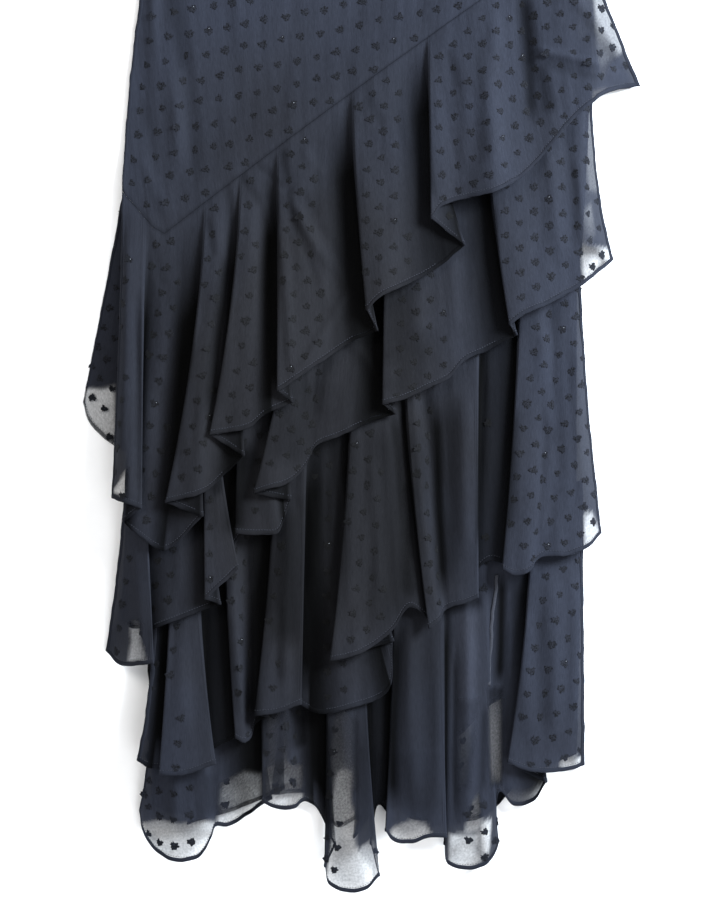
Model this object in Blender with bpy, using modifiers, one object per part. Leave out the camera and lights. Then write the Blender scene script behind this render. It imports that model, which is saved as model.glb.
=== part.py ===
"""A ruffle dress laid flat on its back, face up.

Each cut piece of cloth is one closed wall: bodice, yoke and underskirt panels, and four flounces on the front
and four on the back. The flounces hang from slanting seams and fall in folds. Every piece is laid on the pile
of pieces below it.

Tables are in millimetres on the laying surface: x to the right, y down towards the hem. The model is in
metres, with +Y towards the neck and +Z up, and its origin under the middle of the dress.
"""
from collections import namedtuple

import bpy
import numpy as np

MM = 0.001
WALL = 1.2  # thickness of every cloth wall
SEAM_GAP = 0.3  # between two pieces at a seam
LAY_GAP = 0.6  # between a piece and the pile below it
TURN = 1.05  # radius of a folded edge
SWAY = 1.7  # a fold line leaves its seam straight and swings out towards the hem
RISE = 4.0  # how soon a fold stands up below its seam

CENTRE_X = 362.5  # the middle of the dress on the table
CENTRE_Y = 160.0
WAIST = [(170, -170), (546, -170)]
HIP_CURVE = 9.0  # how far the yoke's left side stands out between the waist and the seam

CELL = 3.0  # the height map's cell
MAP_LEFT = 40.0
MAP_TOP = -640.0
MAP_WIDE = 220
MAP_LONG = 530
REACH_ACROSS = 6  # cells that a bump in the pile lifts the next piece around it
REACH_ALONG = 11
SOFT_ACROSS = 5  # cells over which a piece evens out what lies under it
SOFT_ALONG = 9

CLOTH = (0.045, 0.050, 0.064)
LINING = (0.012, 0.012, 0.016)

# A row of a flounce: where its line starts on the seam and ends on the hem, and its height at the hem. A row
# with an under point is a folded edge: x, y is the edge that shows, and under is the hidden edge of its fold.
Row = namedtuple("Row", "seam x y lift under_x under_y sway", defaults=(None, None, SWAY))

# Lines across the dress, as points x, y from left to right. Each flounce is sewn on along one of them.
SEAM_1_SIDE = [(121, 190), (152, 226)]
SEAM_1_LOW = (164, 233)
SEAM_1_HIGH = (578, -68)
SEAM_1_BOW = 5
SEAM_2 = [(128, 410), (200, 350), (300, 265), (400, 190), (500, 100), (592, 30)]
SEAM_3 = [(154, 540), (200, 500), (258, 440), (350, 360), (450, 290), (500, 240), (578, 190)]
SEAM_4 = [(152, 700), (217, 690), (262, 650), (330, 575), (400, 560), (450, 550), (500, 510), (583, 480)]

RUFFLE_1 = [
    Row(121, 112, 498, 0.5),
    Row(128, 120, 500, 5.0),
    Row(148, 144, 508, 6.5, 124, 521),
    Row(152, 130, 527, 0.5),
    Row(164, 142, 536, 0.8),
    Row(182, 162, 549, 1.0),
    Row(205, 167, 502, 9.0, 205, 516),
    Row(214, 185, 498, 8.0),
    Row(224, 207, 491, 5.2),
    Row(231, 226, 474, 0.5),
    Row(241, 211, 435, 9.5, 246, 456),
    Row(250, 232, 432, 8.2),
    Row(258, 250, 428, 5.5),
    Row(266, 266, 415, 1.0),
    Row(278, 278, 392, 8.5, 294, 403),
    Row(295, 300, 378, 7.0),
    Row(318, 330, 357, 4.0),
    Row(336, 357, 340, 0.8),
    Row(353, 366, 312, 9.5, 378, 332),
    Row(364, 376, 302, 9.0),
    Row(384, 398, 290, 6.0),
    Row(408, 428, 275, 0.8),
    Row(429, 430, 221, 10.0, 465, 247),
    Row(437, 440, 209, 9.0),
    Row(458, 468, 200, 6.5),
    Row(476, 494, 194, 7.5),
    Row(496, 518, 181, 3.0),
    Row(512, 536, 164, 1.0),
    Row(534, 566, 128, 3.5),
    Row(556, 590, 105, 4.5, sway=1.3),
    Row(564, 606, 94, 4.0, sway=1.2),
    Row(571, 624, 87, 3.0, sway=1.1),
    Row(578, 642, 84, 1.5, sway=1.0),
]
RUFFLE_2 = [
    Row(128, 104, 652, 0.5),
    Row(135, 117, 664, 3.0),
    Row(150, 156, 661, 6.0, 140, 634),
    Row(164, 160, 626, 0.5),
    Row(180, 186, 616, 0.8),
    Row(204, 206, 598, 7.5, 222, 603),
    Row(216, 240, 568, 6.5, 226, 556),
    Row(238, 236, 533, 6.0, 246, 530),
    Row(250, 262, 534, 2.6),
    Row(264, 279, 532, 2.2),
    Row(270, 284, 520, 0.4),
    Row(290, 254, 493, 9.5, 292, 500),
    Row(298, 271, 488, 9.0),
    Row(306, 288, 483, 7.0),
    Row(318, 306, 466, 5.0),
    Row(330, 315, 447, 4.0),
    Row(348, 338, 437, 3.0),
    Row(364, 366, 424, 0.8),
    Row(384, 382, 405, 8.5, 396, 414),
    Row(398, 402, 400, 7.5),
    Row(416, 427, 389, 5.5),
    Row(434, 450, 377, 4.5),
    Row(446, 461, 364, 3.5),
    Row(466, 488, 350, 0.8),
    Row(487, 508, 326, 9.0, 517, 336),
    Row(499, 521, 317, 8.5),
    Row(525, 549, 304, 5.5),
    Row(556, 582, 285, 3.5),
    Row(584, 604, 268, 2.5, sway=2.6),
    Row(592, 615, 258, 0.5, sway=3.0),
]
RUFFLE_3 = [
    Row(154, 137, 760, 0.5, sway=3.2),
    Row(161, 149, 766, 0.8, sway=3.0),
    Row(172, 160, 773, 6.0, 170, 767),
    Row(184, 187, 772, 5.8),
    Row(200, 217, 762, 6.0, 208, 750),
    Row(210, 221, 744, 0.5),
    Row(224, 236, 737, 7.0, 243, 733),
    Row(233, 246, 741, 6.0),
    Row(238, 250, 738, 0.8),
    Row(256, 256, 722, 0.5),
    Row(276, 255, 713, 8.0, 268, 716),
    Row(288, 278, 711, 8.0),
    Row(310, 302, 702, 7.5, 288, 698),
    Row(320, 322, 712, 0.5),
    Row(329, 352, 706, 0.8),
    Row(336, 386, 692, 0.5),
    Row(352, 330, 659, 9.5, 394, 640),
    Row(364, 350, 655, 9.2),
    Row(376, 372, 645, 8.5),
    Row(385, 391, 630, 7.0),
    Row(392, 410, 606, 4.0),
    Row(404, 428, 627, 7.0, 434, 622),
    Row(412, 440, 618, 6.0),
    Row(418, 443, 611, 1.0),
    Row(434, 452, 606, 2.0),
    Row(456, 467, 602, 4.5),
    Row(482, 478, 597, 6.0, 468, 578),
    Row(496, 490, 560, 0.5),
    Row(521, 501, 569, 8.0, 512, 566),
    Row(530, 514, 574, 8.0),
    Row(541, 529, 570, 7.0),
    Row(549, 536, 559, 4.0),
    Row(562, 571, 554, 4.5),
    Row(572, 592, 543, 2.5),
    Row(578, 602, 533, 0.5),
]
RUFFLE_4 = [
    Row(152, 138, 812, 0.5),
    Row(157, 142, 834, 1.0),
    Row(162, 152, 851, 1.5),
    Row(172, 168, 861, 4.0),
    Row(186, 198, 859, 4.5),
    Row(204, 211, 838, 4.0),
    Row(211, 215, 828, 0.8),
    Row(218, 226, 828, 0.5),
    Row(236, 246, 817, 0.6),
    Row(262, 262, 803, 5.8, 272, 800),
    Row(272, 280, 810, 5.4),
    Row(284, 296, 808, 4.0),
    Row(288, 300, 804, 0.8),
    Row(306, 311, 805, 0.5),
    Row(328, 324, 868, 6.5, 336, 848),
    Row(334, 329, 886, 7.0),
    Row(344, 345, 893, 7.5),
    Row(356, 367, 890, 7.0),
    Row(366, 380, 878, 6.0, 370, 846),
    Row(378, 380, 806, 0.5),
    Row(394, 385, 832, 6.5, 394, 824),
    Row(402, 392, 841, 6.5),
    Row(412, 410, 844, 7.0),
    Row(426, 428, 838, 6.5),
    Row(446, 447, 838, 6.0, 444, 846),
    Row(456, 448, 866, 1.5),
    Row(466, 466, 871, 4.0),
    Row(476, 487, 866, 4.5),
    Row(484, 498, 850, 4.0),
    Row(488, 497, 822, 0.8),
    Row(494, 501, 792, 0.5),
    Row(502, 514, 807, 0.8),
    Row(512, 532, 804, 0.6),
    Row(532, 507, 763, 7.5, 548, 784),
    Row(542, 526, 770, 7.5),
    Row(558, 552, 773, 6.0),
    Row(573, 574, 770, 3.5),
    Row(583, 586, 767, 0.5),
]
BACK_RUFFLE_1 = [
    Row(121, 81, 402, 0.5, sway=1.05),
    Row(128, 86, 419, 1.0, sway=1.1),
    Row(152, 107, 442, 1.5, sway=1.3),
    Row(164, 126, 452, 1.0),
    Row(196, 166, 470, 6.0, 180, 474),
    Row(222, 214, 458, 0.8),
    Row(258, 242, 424, 6.0, 256, 429),
    Row(290, 300, 386, 0.8),
    Row(330, 318, 352, 6.0, 332, 356),
    Row(366, 378, 318, 0.8),
    Row(406, 402, 268, 6.0, 416, 273),
    Row(440, 462, 226, 0.8),
    Row(480, 486, 178, 6.0, 500, 183),
    Row(530, 548, 132, 1.0),
    Row(570, 574, 106, 0.8),
    Row(578, 582, 98, 0.5),
]
BACK_RUFFLE_2 = [
    Row(128, 118, 622, 0.5),
    Row(136, 128, 628, 1.0),
    Row(176, 160, 620, 6.0, 174, 618),
    Row(214, 216, 590, 0.8),
    Row(256, 240, 556, 6.0, 254, 552),
    Row(296, 304, 500, 0.8),
    Row(340, 332, 466, 6.0, 346, 464),
    Row(380, 392, 426, 0.8),
    Row(424, 424, 378, 6.0, 438, 374),
    Row(466, 484, 330, 0.8),
    Row(510, 514, 290, 6.0, 528, 286),
    Row(584, 576, 256, 0.8),
    Row(592, 583, 250, 0.5),
]
BACK_RUFFLE_3 = [
    Row(154, 146, 742, 0.5),
    Row(162, 156, 748, 1.0),
    Row(196, 184, 744, 6.0, 198, 740),
    Row(236, 240, 722, 0.8),
    Row(276, 262, 702, 6.0, 276, 697),
    Row(318, 326, 668, 0.8),
    Row(362, 352, 640, 6.0, 366, 635),
    Row(400, 410, 606, 0.8),
    Row(444, 440, 586, 6.0, 454, 581),
    Row(486, 500, 556, 0.8),
    Row(526, 530, 534, 6.0, 544, 532),
    Row(571, 570, 526, 0.8),
    Row(578, 578, 522, 0.5),
]
BACK_RUFFLE_4 = [
    Row(152, 150, 806, 0.5),
    Row(160, 160, 812, 1.0),
    Row(200, 186, 826, 6.0, 200, 820),
    Row(240, 246, 808, 0.8),
    Row(286, 270, 796, 6.0, 284, 792),
    Row(312, 314, 798, 0.8),
    Row(330, 338, 830, 0.8),
    Row(366, 353, 840, 6.5, 368, 812),
    Row(388, 390, 802, 0.8),
    Row(404, 410, 820, 0.8),
    Row(444, 432, 828, 6.0, 446, 823),
    Row(484, 486, 818, 0.8),
    Row(526, 512, 784, 6.0, 526, 776),
    Row(572, 568, 760, 0.8),
    Row(583, 578, 756, 0.5),
]
# The underskirt's hem, and the outer edges of the bodice above the waist, as points x, y from left to right.
UNDERSKIRT_HEM = [
    (152, 744), (206, 748), (262, 708), (330, 704), (392, 744), (446, 744), (500, 700), (576, 690),
]
YOKE_LINES = 13
YOKE_STEPS = 7
SKIRT_LINES = 13
BODICE_STEPS = 4
SEAM_PARTS = 40
# Steps from seam to hem, and the widest strip between two lines, of a flounce of the back and of the front.
BACK_STEPS, BACK_WIDEST = 5, 60
FRONT_STEPS, FRONT_WIDEST = 6, 36
FINE_PARTS = 8  # points to a face when a piece is set down on the pile
FRONT_NECKLINE = [(150, -392), (168, -420), (186, -480), (206, -548), (222, -567), (292, -572), (302, -528),
                  (326, -484), (362, -470), (398, -484), (422, -528), (432, -572), (502, -567), (518, -548),
                  (538, -480), (556, -420), (574, -392)]
BACK_NECKLINE = [(150, -392), (168, -420), (186, -480), (206, -548), (222, -567), (292, -572), (306, -554),
                 (328, -546), (362, -543), (396, -546), (418, -554), (432, -572), (502, -567), (518, -548),
                 (538, -480), (556, -420), (574, -392)]


def fold_columns(row, rise, edge_x, edge_y, height, middle, side):
    """The three lines round one folded edge: into the turn, its outermost line and out of the turn."""
    lines = []
    for step in (-1, 0, 1):
        inward = 0 if step == 0 else TURN
        up = rise * step * TURN
        lines.append((middle + step * TURN, edge_x - side * inward, edge_y, height + up, row.sway))
    return lines


def flounce_columns(rows):
    """All lines of a flounce from left to right, as seam x, hem x, hem y, height at the hem and sway."""
    columns = []
    for row in rows:
        if row.under_x is None:
            columns.append((row.seam, row.x, row.y, row.lift, row.sway))
            continue
        top, low = row.lift - TURN, TURN + 0.3
        before, after = row.seam - 4 * TURN, row.seam
        if row.x < row.under_x:  # the fold that shows opens to the left: its hidden edge comes first
            columns += fold_columns(row, 1, row.under_x, row.under_y, low, before, 1)
            columns += fold_columns(row, 1, row.x, row.y, top, after, -1)
        else:
            columns += fold_columns(row, -1, row.x, row.y, top, before, 1)
            columns += fold_columns(row, -1, row.under_x, row.under_y, low, after, -1)
    return columns


def divided(columns, widest):
    """The same lines, with straight ones between them where two hem points are further apart than widest."""
    result = [columns[0]]
    for left, right in zip(columns, columns[1:]):
        apart = max(abs(right[0] - left[0]), abs(right[1] - left[1]))
        parts = max(1, int(np.ceil(apart / widest)))
        for k in range(1, parts + 1):
            result.append(tuple(np.array(left) + (np.array(right) - np.array(left)) * k / parts))
    return result


def diagonal_seam(parts):
    """The first seam: a short piece down from the left side, then a long one, bowed a little, to the right."""
    share = np.linspace(0, 1, parts + 1)
    low, high = np.array(SEAM_1_LOW), np.array(SEAM_1_HIGH)
    x = low[0] + (high[0] - low[0]) * share
    y = low[1] + (high[1] - low[1]) * share - 4 * SEAM_1_BOW * share * (1 - share)
    return SEAM_1_SIDE + list(zip(x, y))


def line_y(points, x):
    """Height on the table of a line across the dress at x."""
    xs, ys = zip(*points)
    return np.interp(x, xs, ys)


def spaced(points, shares):
    """Points at the given shares of a line's length."""
    points = np.array(points, dtype=float)
    length = np.r_[0, np.cumsum(np.linalg.norm(np.diff(points, axis=0), axis=1))]
    return [tuple(np.interp(share * length[-1], length, axis) for axis in points.T) for share in shares]


def moved(points, down):
    """A line of points moved down the table."""
    return [(x, y + down) for x, y in points]


def flounce_grid(seam, rows, steps, widest):
    """Points of a flounce, line by line: x, y on the table and height over the pile."""
    columns = np.array(divided(flounce_columns(rows), widest))
    seam_x, hem_x, hem_y, lift, sway = columns.T[:, :, None]
    seam_y = line_y(seam, seam_x) + SEAM_GAP / 2
    down = np.linspace(0, 1, steps + 1)[None, :]
    x = seam_x + (hem_x - seam_x) * down ** sway
    y = seam_y + (hem_y - seam_y) * down
    z = lift * (1 - (1 - down) ** RISE)
    return np.stack([x, y, z], axis=-1)


def panel_grid(upper, lower, steps):
    """Points of a plain panel: straight lines between the points of its upper and its lower edge."""
    down = np.linspace(0, 1, steps + 1)[None, :, None]
    flat = np.array(upper)[:, None, :] * (1 - down) + np.array(lower)[:, None, :] * down
    return np.concatenate([flat, np.zeros(flat.shape[:2] + (1,))], axis=-1)


def widest_of(heights, across, along):
    """Each cell's highest neighbour within so many cells across and along."""
    result = heights.copy()
    for axis, reach in ((0, across), (1, along)):
        spread = result.copy()
        for shift in range(1, reach + 1):
            for way in (-shift, shift):
                spread = np.maximum(spread, np.roll(result, way, axis=axis))
        result = spread
    return result


def softened(heights, across, along):
    """Each cell's average with its neighbours within so many cells across and along."""
    result = heights
    for axis, reach in ((0, across), (1, along)):
        total = sum(np.roll(result, way, axis=axis) for way in range(-reach, reach + 1))
        result = total / (2 * reach + 1)
    return result


def cell_of(x, y):
    """The height map's cell under a point on the table."""
    across = np.clip(((x - MAP_LEFT) / CELL).astype(int), 0, MAP_WIDE - 1)
    along = np.clip(((y - MAP_TOP) / CELL).astype(int), 0, MAP_LONG - 1)
    return across, along


def fine_points(grid, parts):
    """Points spread over a grid's faces, parts to a side."""
    for axis in (0, 1):
        count = grid.shape[axis]
        at = np.linspace(0, count - 1, (count - 1) * parts + 1)
        low = np.minimum(at.astype(int), count - 2)
        share = (at - low).reshape((-1, 1, 1) if axis == 0 else (1, -1, 1))
        grid = np.take(grid, low, axis=axis) * (1 - share) + np.take(grid, low + 1, axis=axis) * share
    return grid.reshape(-1, 3)


class Pile:
    """The height of everything laid so far, as a map of cells."""

    def __init__(self):
        self.top = np.zeros((MAP_WIDE, MAP_LONG))

    def lay(self, grids):
        """Lays pieces that are sewn edge to edge on the pile, softly bent over what lies under them."""
        bed = softened(widest_of(self.top, REACH_ACROSS, REACH_ALONG), SOFT_ACROSS, SOFT_ALONG)
        laid, rises = [], []
        for grid in grids:
            piece = grid.copy()
            piece[..., 2] += bed[cell_of(grid[..., 0], grid[..., 1])]
            points = fine_points(piece, FINE_PARTS)
            under = self.top[cell_of(points[:, 0], points[:, 1])]
            gap = np.where(under > 0, LAY_GAP, 0)
            rises.append((under + gap + WALL / 2 - points[:, 2]).max())
            laid.append(piece)
        for piece in laid:
            piece[..., 2] += max(rises)
            points = fine_points(piece, FINE_PARTS)
            np.maximum.at(self.top, cell_of(points[:, 0], points[:, 1]), points[:, 2] + WALL / 2)
        return laid


def cloth_material(name, colour, roughness):
    """A plain cloth finish."""
    material = bpy.data.materials.new(name)
    material.use_nodes = True
    shader = material.node_tree.nodes["Principled BSDF"]
    shader.inputs["Base Color"].default_value = (*colour, 1.0)
    shader.inputs["Roughness"].default_value = roughness
    shader.inputs["Metallic"].default_value = 0.0
    return material


def cloth_object(name, grid, material, collection):
    """A wall of cloth through a grid of points."""
    lines, steps = grid.shape[0], grid.shape[1]
    bpy.ops.mesh.primitive_grid_add(x_subdivisions=lines - 1, y_subdivisions=steps - 1, size=2)
    piece = bpy.context.object
    piece.name = piece.data.name = name
    for other in piece.users_collection:
        other.objects.unlink(piece)
    collection.objects.link(piece)
    for vertex in piece.data.vertices:
        line = round((vertex.co.x + 1) / 2 * (lines - 1))
        step = round((1 - vertex.co.y) / 2 * (steps - 1))
        x, y, z = grid[line, step]
        vertex.co = ((x - CENTRE_X) * MM, (CENTRE_Y - y) * MM, z * MM)
    piece.data.materials.append(material)
    wall = piece.modifiers.new("wall", "SOLIDIFY")
    wall.thickness = WALL * MM
    wall.offset = 0.0
    return piece


def yoke_grid(seam):
    """The panel between the waist and the diagonal seam."""
    low, high = SEAM_1_LOW[0], SEAM_1_HIGH[0]
    xs = [x for x, _ in SEAM_1_SIDE] + list(np.linspace(low, high, YOKE_LINES))
    lower = [(x, line_y(seam, x) - SEAM_GAP / 2) for x in xs]
    shares = (np.array(xs) - xs[0]) / (xs[-1] - xs[0])
    grid = panel_grid(spaced(WAIST, shares), lower, YOKE_STEPS)
    down = np.linspace(0, 1, YOKE_STEPS + 1)[None, :]
    grid[..., 0] -= HIP_CURVE * 4 * down * (1 - down) * (1 - shares[:, None])
    return grid


def bodice_grid(neckline):
    """The panel between the neckline and the waist."""
    xs = np.array([x for x, _ in neckline])
    shares = (xs - xs[0]) / (xs[-1] - xs[0])
    return panel_grid(neckline, spaced(moved(WAIST, -SEAM_GAP), shares), BODICE_STEPS)


def main():
    for old in list(bpy.data.objects):
        bpy.data.objects.remove(old)
    collection = bpy.data.collections.new("ruffle_dress")
    bpy.context.scene.collection.children.link(collection)
    chiffon = cloth_material("chiffon", CLOTH, 0.85)
    lining = cloth_material("lining", LINING, 0.7)

    seam_1 = diagonal_seam(SEAM_PARTS)
    skirt_hem = spaced(UNDERSKIRT_HEM, np.linspace(0, 1, SKIRT_LINES + 1))
    skirt_top = spaced(moved(seam_1, SEAM_GAP / 2), np.linspace(0, 1, SKIRT_LINES + 1))
    underskirt = panel_grid(skirt_top, skirt_hem, SKIRT_LINES)
    yoke = yoke_grid(seam_1)
    plan = [
        [("back_yoke", yoke), ("back_bodice", bodice_grid(BACK_NECKLINE)),
         ("ruffle_1_back", flounce_grid(seam_1, BACK_RUFFLE_1, BACK_STEPS, BACK_WIDEST))],
        [("ruffle_2_back", flounce_grid(SEAM_2, BACK_RUFFLE_2, BACK_STEPS, BACK_WIDEST))],
        [("ruffle_3_back", flounce_grid(SEAM_3, BACK_RUFFLE_3, BACK_STEPS, BACK_WIDEST))],
        [("ruffle_4_back", flounce_grid(SEAM_4, BACK_RUFFLE_4, BACK_STEPS, BACK_WIDEST))],
        [("back_underskirt", underskirt)],
        [("front_underskirt", underskirt)],
        [("ruffle_4_front", flounce_grid(SEAM_4, RUFFLE_4, FRONT_STEPS, FRONT_WIDEST))],
        [("ruffle_3_front", flounce_grid(SEAM_3, RUFFLE_3, FRONT_STEPS, FRONT_WIDEST))],
        [("ruffle_2_front", flounce_grid(SEAM_2, RUFFLE_2, FRONT_STEPS, FRONT_WIDEST))],
        [("ruffle_1_front", flounce_grid(seam_1, RUFFLE_1, FRONT_STEPS + 1, FRONT_WIDEST)),
         ("front_yoke", yoke),
         ("front_bodice", bodice_grid(FRONT_NECKLINE))],
    ]
    pile = Pile()
    for sewn in plan:
        laid = pile.lay([grid for name, grid in sewn])
        for (name, _), grid in zip(sewn, laid):
            cloth_object(name, grid, lining if "underskirt" in name else chiffon, collection)


main()
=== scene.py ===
"""A ruffle dress of sheer dot chiffon over an opaque underskirt, laid flat on its back on a pale floor.

Tables are in millimetres on the laying surface: x to the right, y down towards the hem. Pieces are in metres
in the model's frame, with +Y towards the neck and +Z up.
"""
from collections import namedtuple

import bmesh
import bpy
import numpy as np
from bpy.props import FloatProperty, FloatVectorProperty, PointerProperty
from mathutils import Matrix, Vector


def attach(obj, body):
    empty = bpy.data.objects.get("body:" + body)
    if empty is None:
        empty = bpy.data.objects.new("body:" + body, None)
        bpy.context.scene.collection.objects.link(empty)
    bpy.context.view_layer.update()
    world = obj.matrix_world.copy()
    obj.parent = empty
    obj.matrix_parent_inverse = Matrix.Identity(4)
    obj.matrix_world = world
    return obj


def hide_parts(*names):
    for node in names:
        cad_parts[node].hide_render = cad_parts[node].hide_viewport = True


bl_info = {
    "name": "Ruffle dress",
    "version": (1, 0, 0),
    "blender": (4, 5, 0),
    "location": "3D view > Sidebar > Ruffle dress",
    "description": "Makes the cloth, hems, dots and stage of a ruffle dress laid flat",
    "category": "Object",
}

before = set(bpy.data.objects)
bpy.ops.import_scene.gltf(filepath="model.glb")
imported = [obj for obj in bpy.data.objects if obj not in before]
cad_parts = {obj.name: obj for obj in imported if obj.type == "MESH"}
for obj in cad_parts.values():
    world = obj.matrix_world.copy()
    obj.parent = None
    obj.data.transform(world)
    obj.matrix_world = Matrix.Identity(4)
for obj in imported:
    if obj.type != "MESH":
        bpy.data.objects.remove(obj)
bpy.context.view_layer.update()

MM = 0.001
CENTRE_X = 362.5  # the middle of the dress on the table
CENTRE_Y = 160.0
VIEW_CENTRE = (360, 450)  # what the camera looks at
VIEW_LONG = 0.9  # metres from the top to the bottom of the picture

# How the cloth lies, in millimetres
SEAM_GAP = 0.3  # between two pieces at a seam
LAY_GAP = 0.8  # between a piece and the pile below it
TURN = 1.1  # radius of a folded edge
TURN_LINES = (-90, -45, 0, 45, 90)  # the lines round a folded edge, in degrees
FOLD_SHARE = 4  # from one edge of a fold to the other along the seam, in radii of an edge
FOLD_LOW = 0.3  # the underside of a fold's hidden edge lies this high in its piece
LOW_LIFT = 1.0  # a line that lies no higher than this is down between folds
SWAY = 1.7  # a fold line leaves its seam straight and swings out towards the hem
RISE = 4.0  # how soon a fold stands up below its seam
WAIST = [(170, -170), (546, -170)]
HIP_CURVE = 9.0  # how far the yoke's left side stands out between the waist and the seam
RUMPLE_WAVES = 9
RUMPLE_ACROSS, RUMPLE_ALONG = (16, 60), (90, 260)  # lengths of the small waves in the cloth
RUMPLE_BEND, RUMPLE_BENDS = 0.8, (60, 140)  # how far they bend, and the length of each radian of a bend
CREASE_STRAY, CREASE_WAVE = 0.06, 19  # a crease strays so many widths, in a wave of this length a radian
CREASE_ENDS = 0.2  # the share of its length over which it begins, and over which it ends
CELL = 3.0  # the height map's cell
MAP_LEFT, MAP_TOP = 40.0, -640.0
MAP_WIDE, MAP_LONG = 220, 530  # its cells across and along
REACH_ACROSS, REACH_ALONG = 6, 11  # cells that a bump in the pile lifts the next piece around it
SOFT_ACROSS, SOFT_ALONG = 5, 9  # cells over which a piece evens out what lies under it
LOWEST = 0.3  # no cloth lies lower than this above the floor

# How much painted shade darkens the cloth's colour in its folds: 0 where it is lit, 1 where no light comes
SEAM_SHADE = 0.28  # where it turns in at a seam
DEEP, DEEP_RIGHT = 0.87, 0.68  # painted shade between folds, to the left and to the right of RIGHT_FROM
RIGHT_FROM = 390
DARK_FROM, DARK_OVER = 0.02, 0.3  # a fold's painted shade begins at this share of the way to its hem, and grows over that one
TIP_FROM, TIP_OVER = 0.86, 0.1  # the same for its hidden layer, whose painted shade gets lighter where its tip shows
TIP_LIGHT = 0.7

# Hems, stitches and dots, in metres where nothing else is said
SKIRT_EDGES = ("hem", "left", "right")  # the rolled edges of a flounce or an underskirt
FLOOR = 0.00004  # no tuft, stitch or rolled hem lies lower than this
UNEVEN = 0.0004  # how far a rolled hem wanders from its line
WANDER = (0.0031, 0.0127, 0.0074)  # the waves that it wanders in, as the length of each radian
ROLL_SIDES = 8
STITCH_INSET, STITCH_UP = 1.12, 0.0001  # the stitches' place: hem widths from the edge, and above the cloth
STITCH_LONG = 0.74  # a stitch's length beside the pitch
SLIT_UP, SLIT_WIDE = 0.7, 0.8  # the slit's rolled edge: millimetres above the flounce, and hem widths
DOTS_END = 0.8  # where a fold's painted shade is deeper than this, no dot shows
DOTS_CLEAR = 2.0  # millimetres that dots keep from the plain parts
DOT_WIDTHS, DOT_SPIN = (0.86, 1.12), 0.25  # the dots' widths beside the usual one, and how far they turn
ROW_SHIFT = 0.19  # each row of dots starts this share of the spacing before the row above
ROW_START = 0.45  # the first row's share of the spacing below the seam
ROW_REACH = 40  # dots tried to each side of a panel's middle
ROW_UNEVEN, DOT_UNEVEN = 0.6, 0.5  # millimetres that a row strays, and a dot in it
HEM_CLEAR, FOLD_CLEAR = 5, 3  # millimetres that dots keep from a panel's seam and hem, and from its sides
ON_CLOTH = 3.5  # no dot is further than this from a point of the cloth's mesh, in millimetres
PANEL_SPREAD = 1.12  # the dots' rows are this much looser on the smooth panels
DOT_SHAPES = 7  # how many frayed hearts the dots take in turn
DOT_FRAY = (0.64, 1.18)  # how far a heart's rim points lie in and out
DOT_UP = 0.03  # how far a dot one unit wide stands out of each face of the cloth
GLINT_EACH = 23  # one dot in so many has a painted glint: a light-coloured thread end in place of a highlight
GLINT_PLACE, GLINT_LONG = (0.18, 0.12, 0.07), 0.14  # on a dot that is one unit wide

# Finishes
SHADED_MIDDLE_X, SHADED_MIDDLE_Y = -0.06, -0.28  # the middle of the painted shade that makes the cloth darker and greyer, in metres
SHADED_WIDE, SHADED_LONG = 0.25, 0.46  # how far it reaches
WEAVE = 420.0  # scale of the weave's patterns
SLUBS, STREAKS = (900.0, 130.0, 1.0), (70.0, 9.0, 1.0)  # scales of the uneven threads and of the soft drape
CLOSED = 0.985  # share of light that cloth stops where many layers lie on each other
DEEPEST = 0.975  # share of its brightness that cloth loses where no light comes
FIBRES = (0.38, 0.62)  # the middle of a fibre pattern, spread to its full range
# Plain finishes: their fibres in a metre, and their roughness
PLAIN_FINISHES = {"lining": (900.0, 0.7), "glint": (900.0, 0.4), "thread": (2000.0, 0.5)}

# The stage's soft lights: place in metres, size, watts and colour
LIGHTS = {
    "key": ((1.7, 0.75, 1.15), 0.9, 205.0, (0.84, 0.92, 1.0)),
    "warm_fill": ((-1.6, 1.0, 1.9), 1.2, 36.0, (1.0, 0.97, 0.93)),
    "low_fill": ((0.9, -2.0, 1.8), 1.6, 34.0, (0.95, 0.97, 1.0)),
}
LIGHTS_AIM = Vector((0.0, -0.25, 0.0))
SKY, SKY_LIGHT = (0.95, 0.97, 1.0, 1.0), 0.54
FLOOR_REACH = 6.0
LENS, SENSOR = 100.0, 36.0  # the camera's, in millimetres
CAMERA_UP = 0.02  # the height above the floor, in metres, at which the picture is VIEW_LONG long

# A row of a flounce: where its line starts on the seam and ends on the hem, and its height at the hem. A
# row with an under point is a folded edge: x, y is the edge that shows, and under is its fold's hidden edge.
Row = namedtuple("Row", "seam x y lift under_x under_y sway", defaults=(None, None, SWAY))
# A soft ridge on a piece, from one point to another, or a valley where its height is below nothing, and how
# much painted shade darkens the cloth along it, or how much painted light lightens it where that is below
# nothing.
Crease = namedtuple("Crease", "x y to_x to_y height width dark", defaults=(0.0,))
# A line of the fine grid: seam x, hem x and y, height at the hem, sway, and how much painted shade it gets
# deep in a fold.
Line = namedtuple("Line", "seam x y lift sway dark")
# A laid piece: its points, its panels' first and last lines, and how much painted shade each point gets deep
# in a fold.
Cloth = namedtuple("Cloth", "points spans dark")
LAID = {}

# Lines across the dress, as points x, y from left to right. Each flounce is sewn on along one of them.
SEAM_1_SIDE = [(121, 190), (152, 226)]
SEAM_1_LOW = (164, 233)
SEAM_1_HIGH = (578, -68)
SEAM_1_BOW = 5
SEAM_1_PARTS = 120
SKIRT_WIDE = 460
SEAM_2 = [(128, 410), (200, 350), (300, 265), (400, 190), (500, 100), (592, 30)]
SEAM_3 = [(154, 540), (200, 500), (258, 440), (350, 360), (450, 290), (500, 240), (578, 190)]
SEAM_4 = [(152, 700), (217, 690), (262, 650), (330, 575), (400, 560), (450, 550), (500, 510), (583, 480)]

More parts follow.
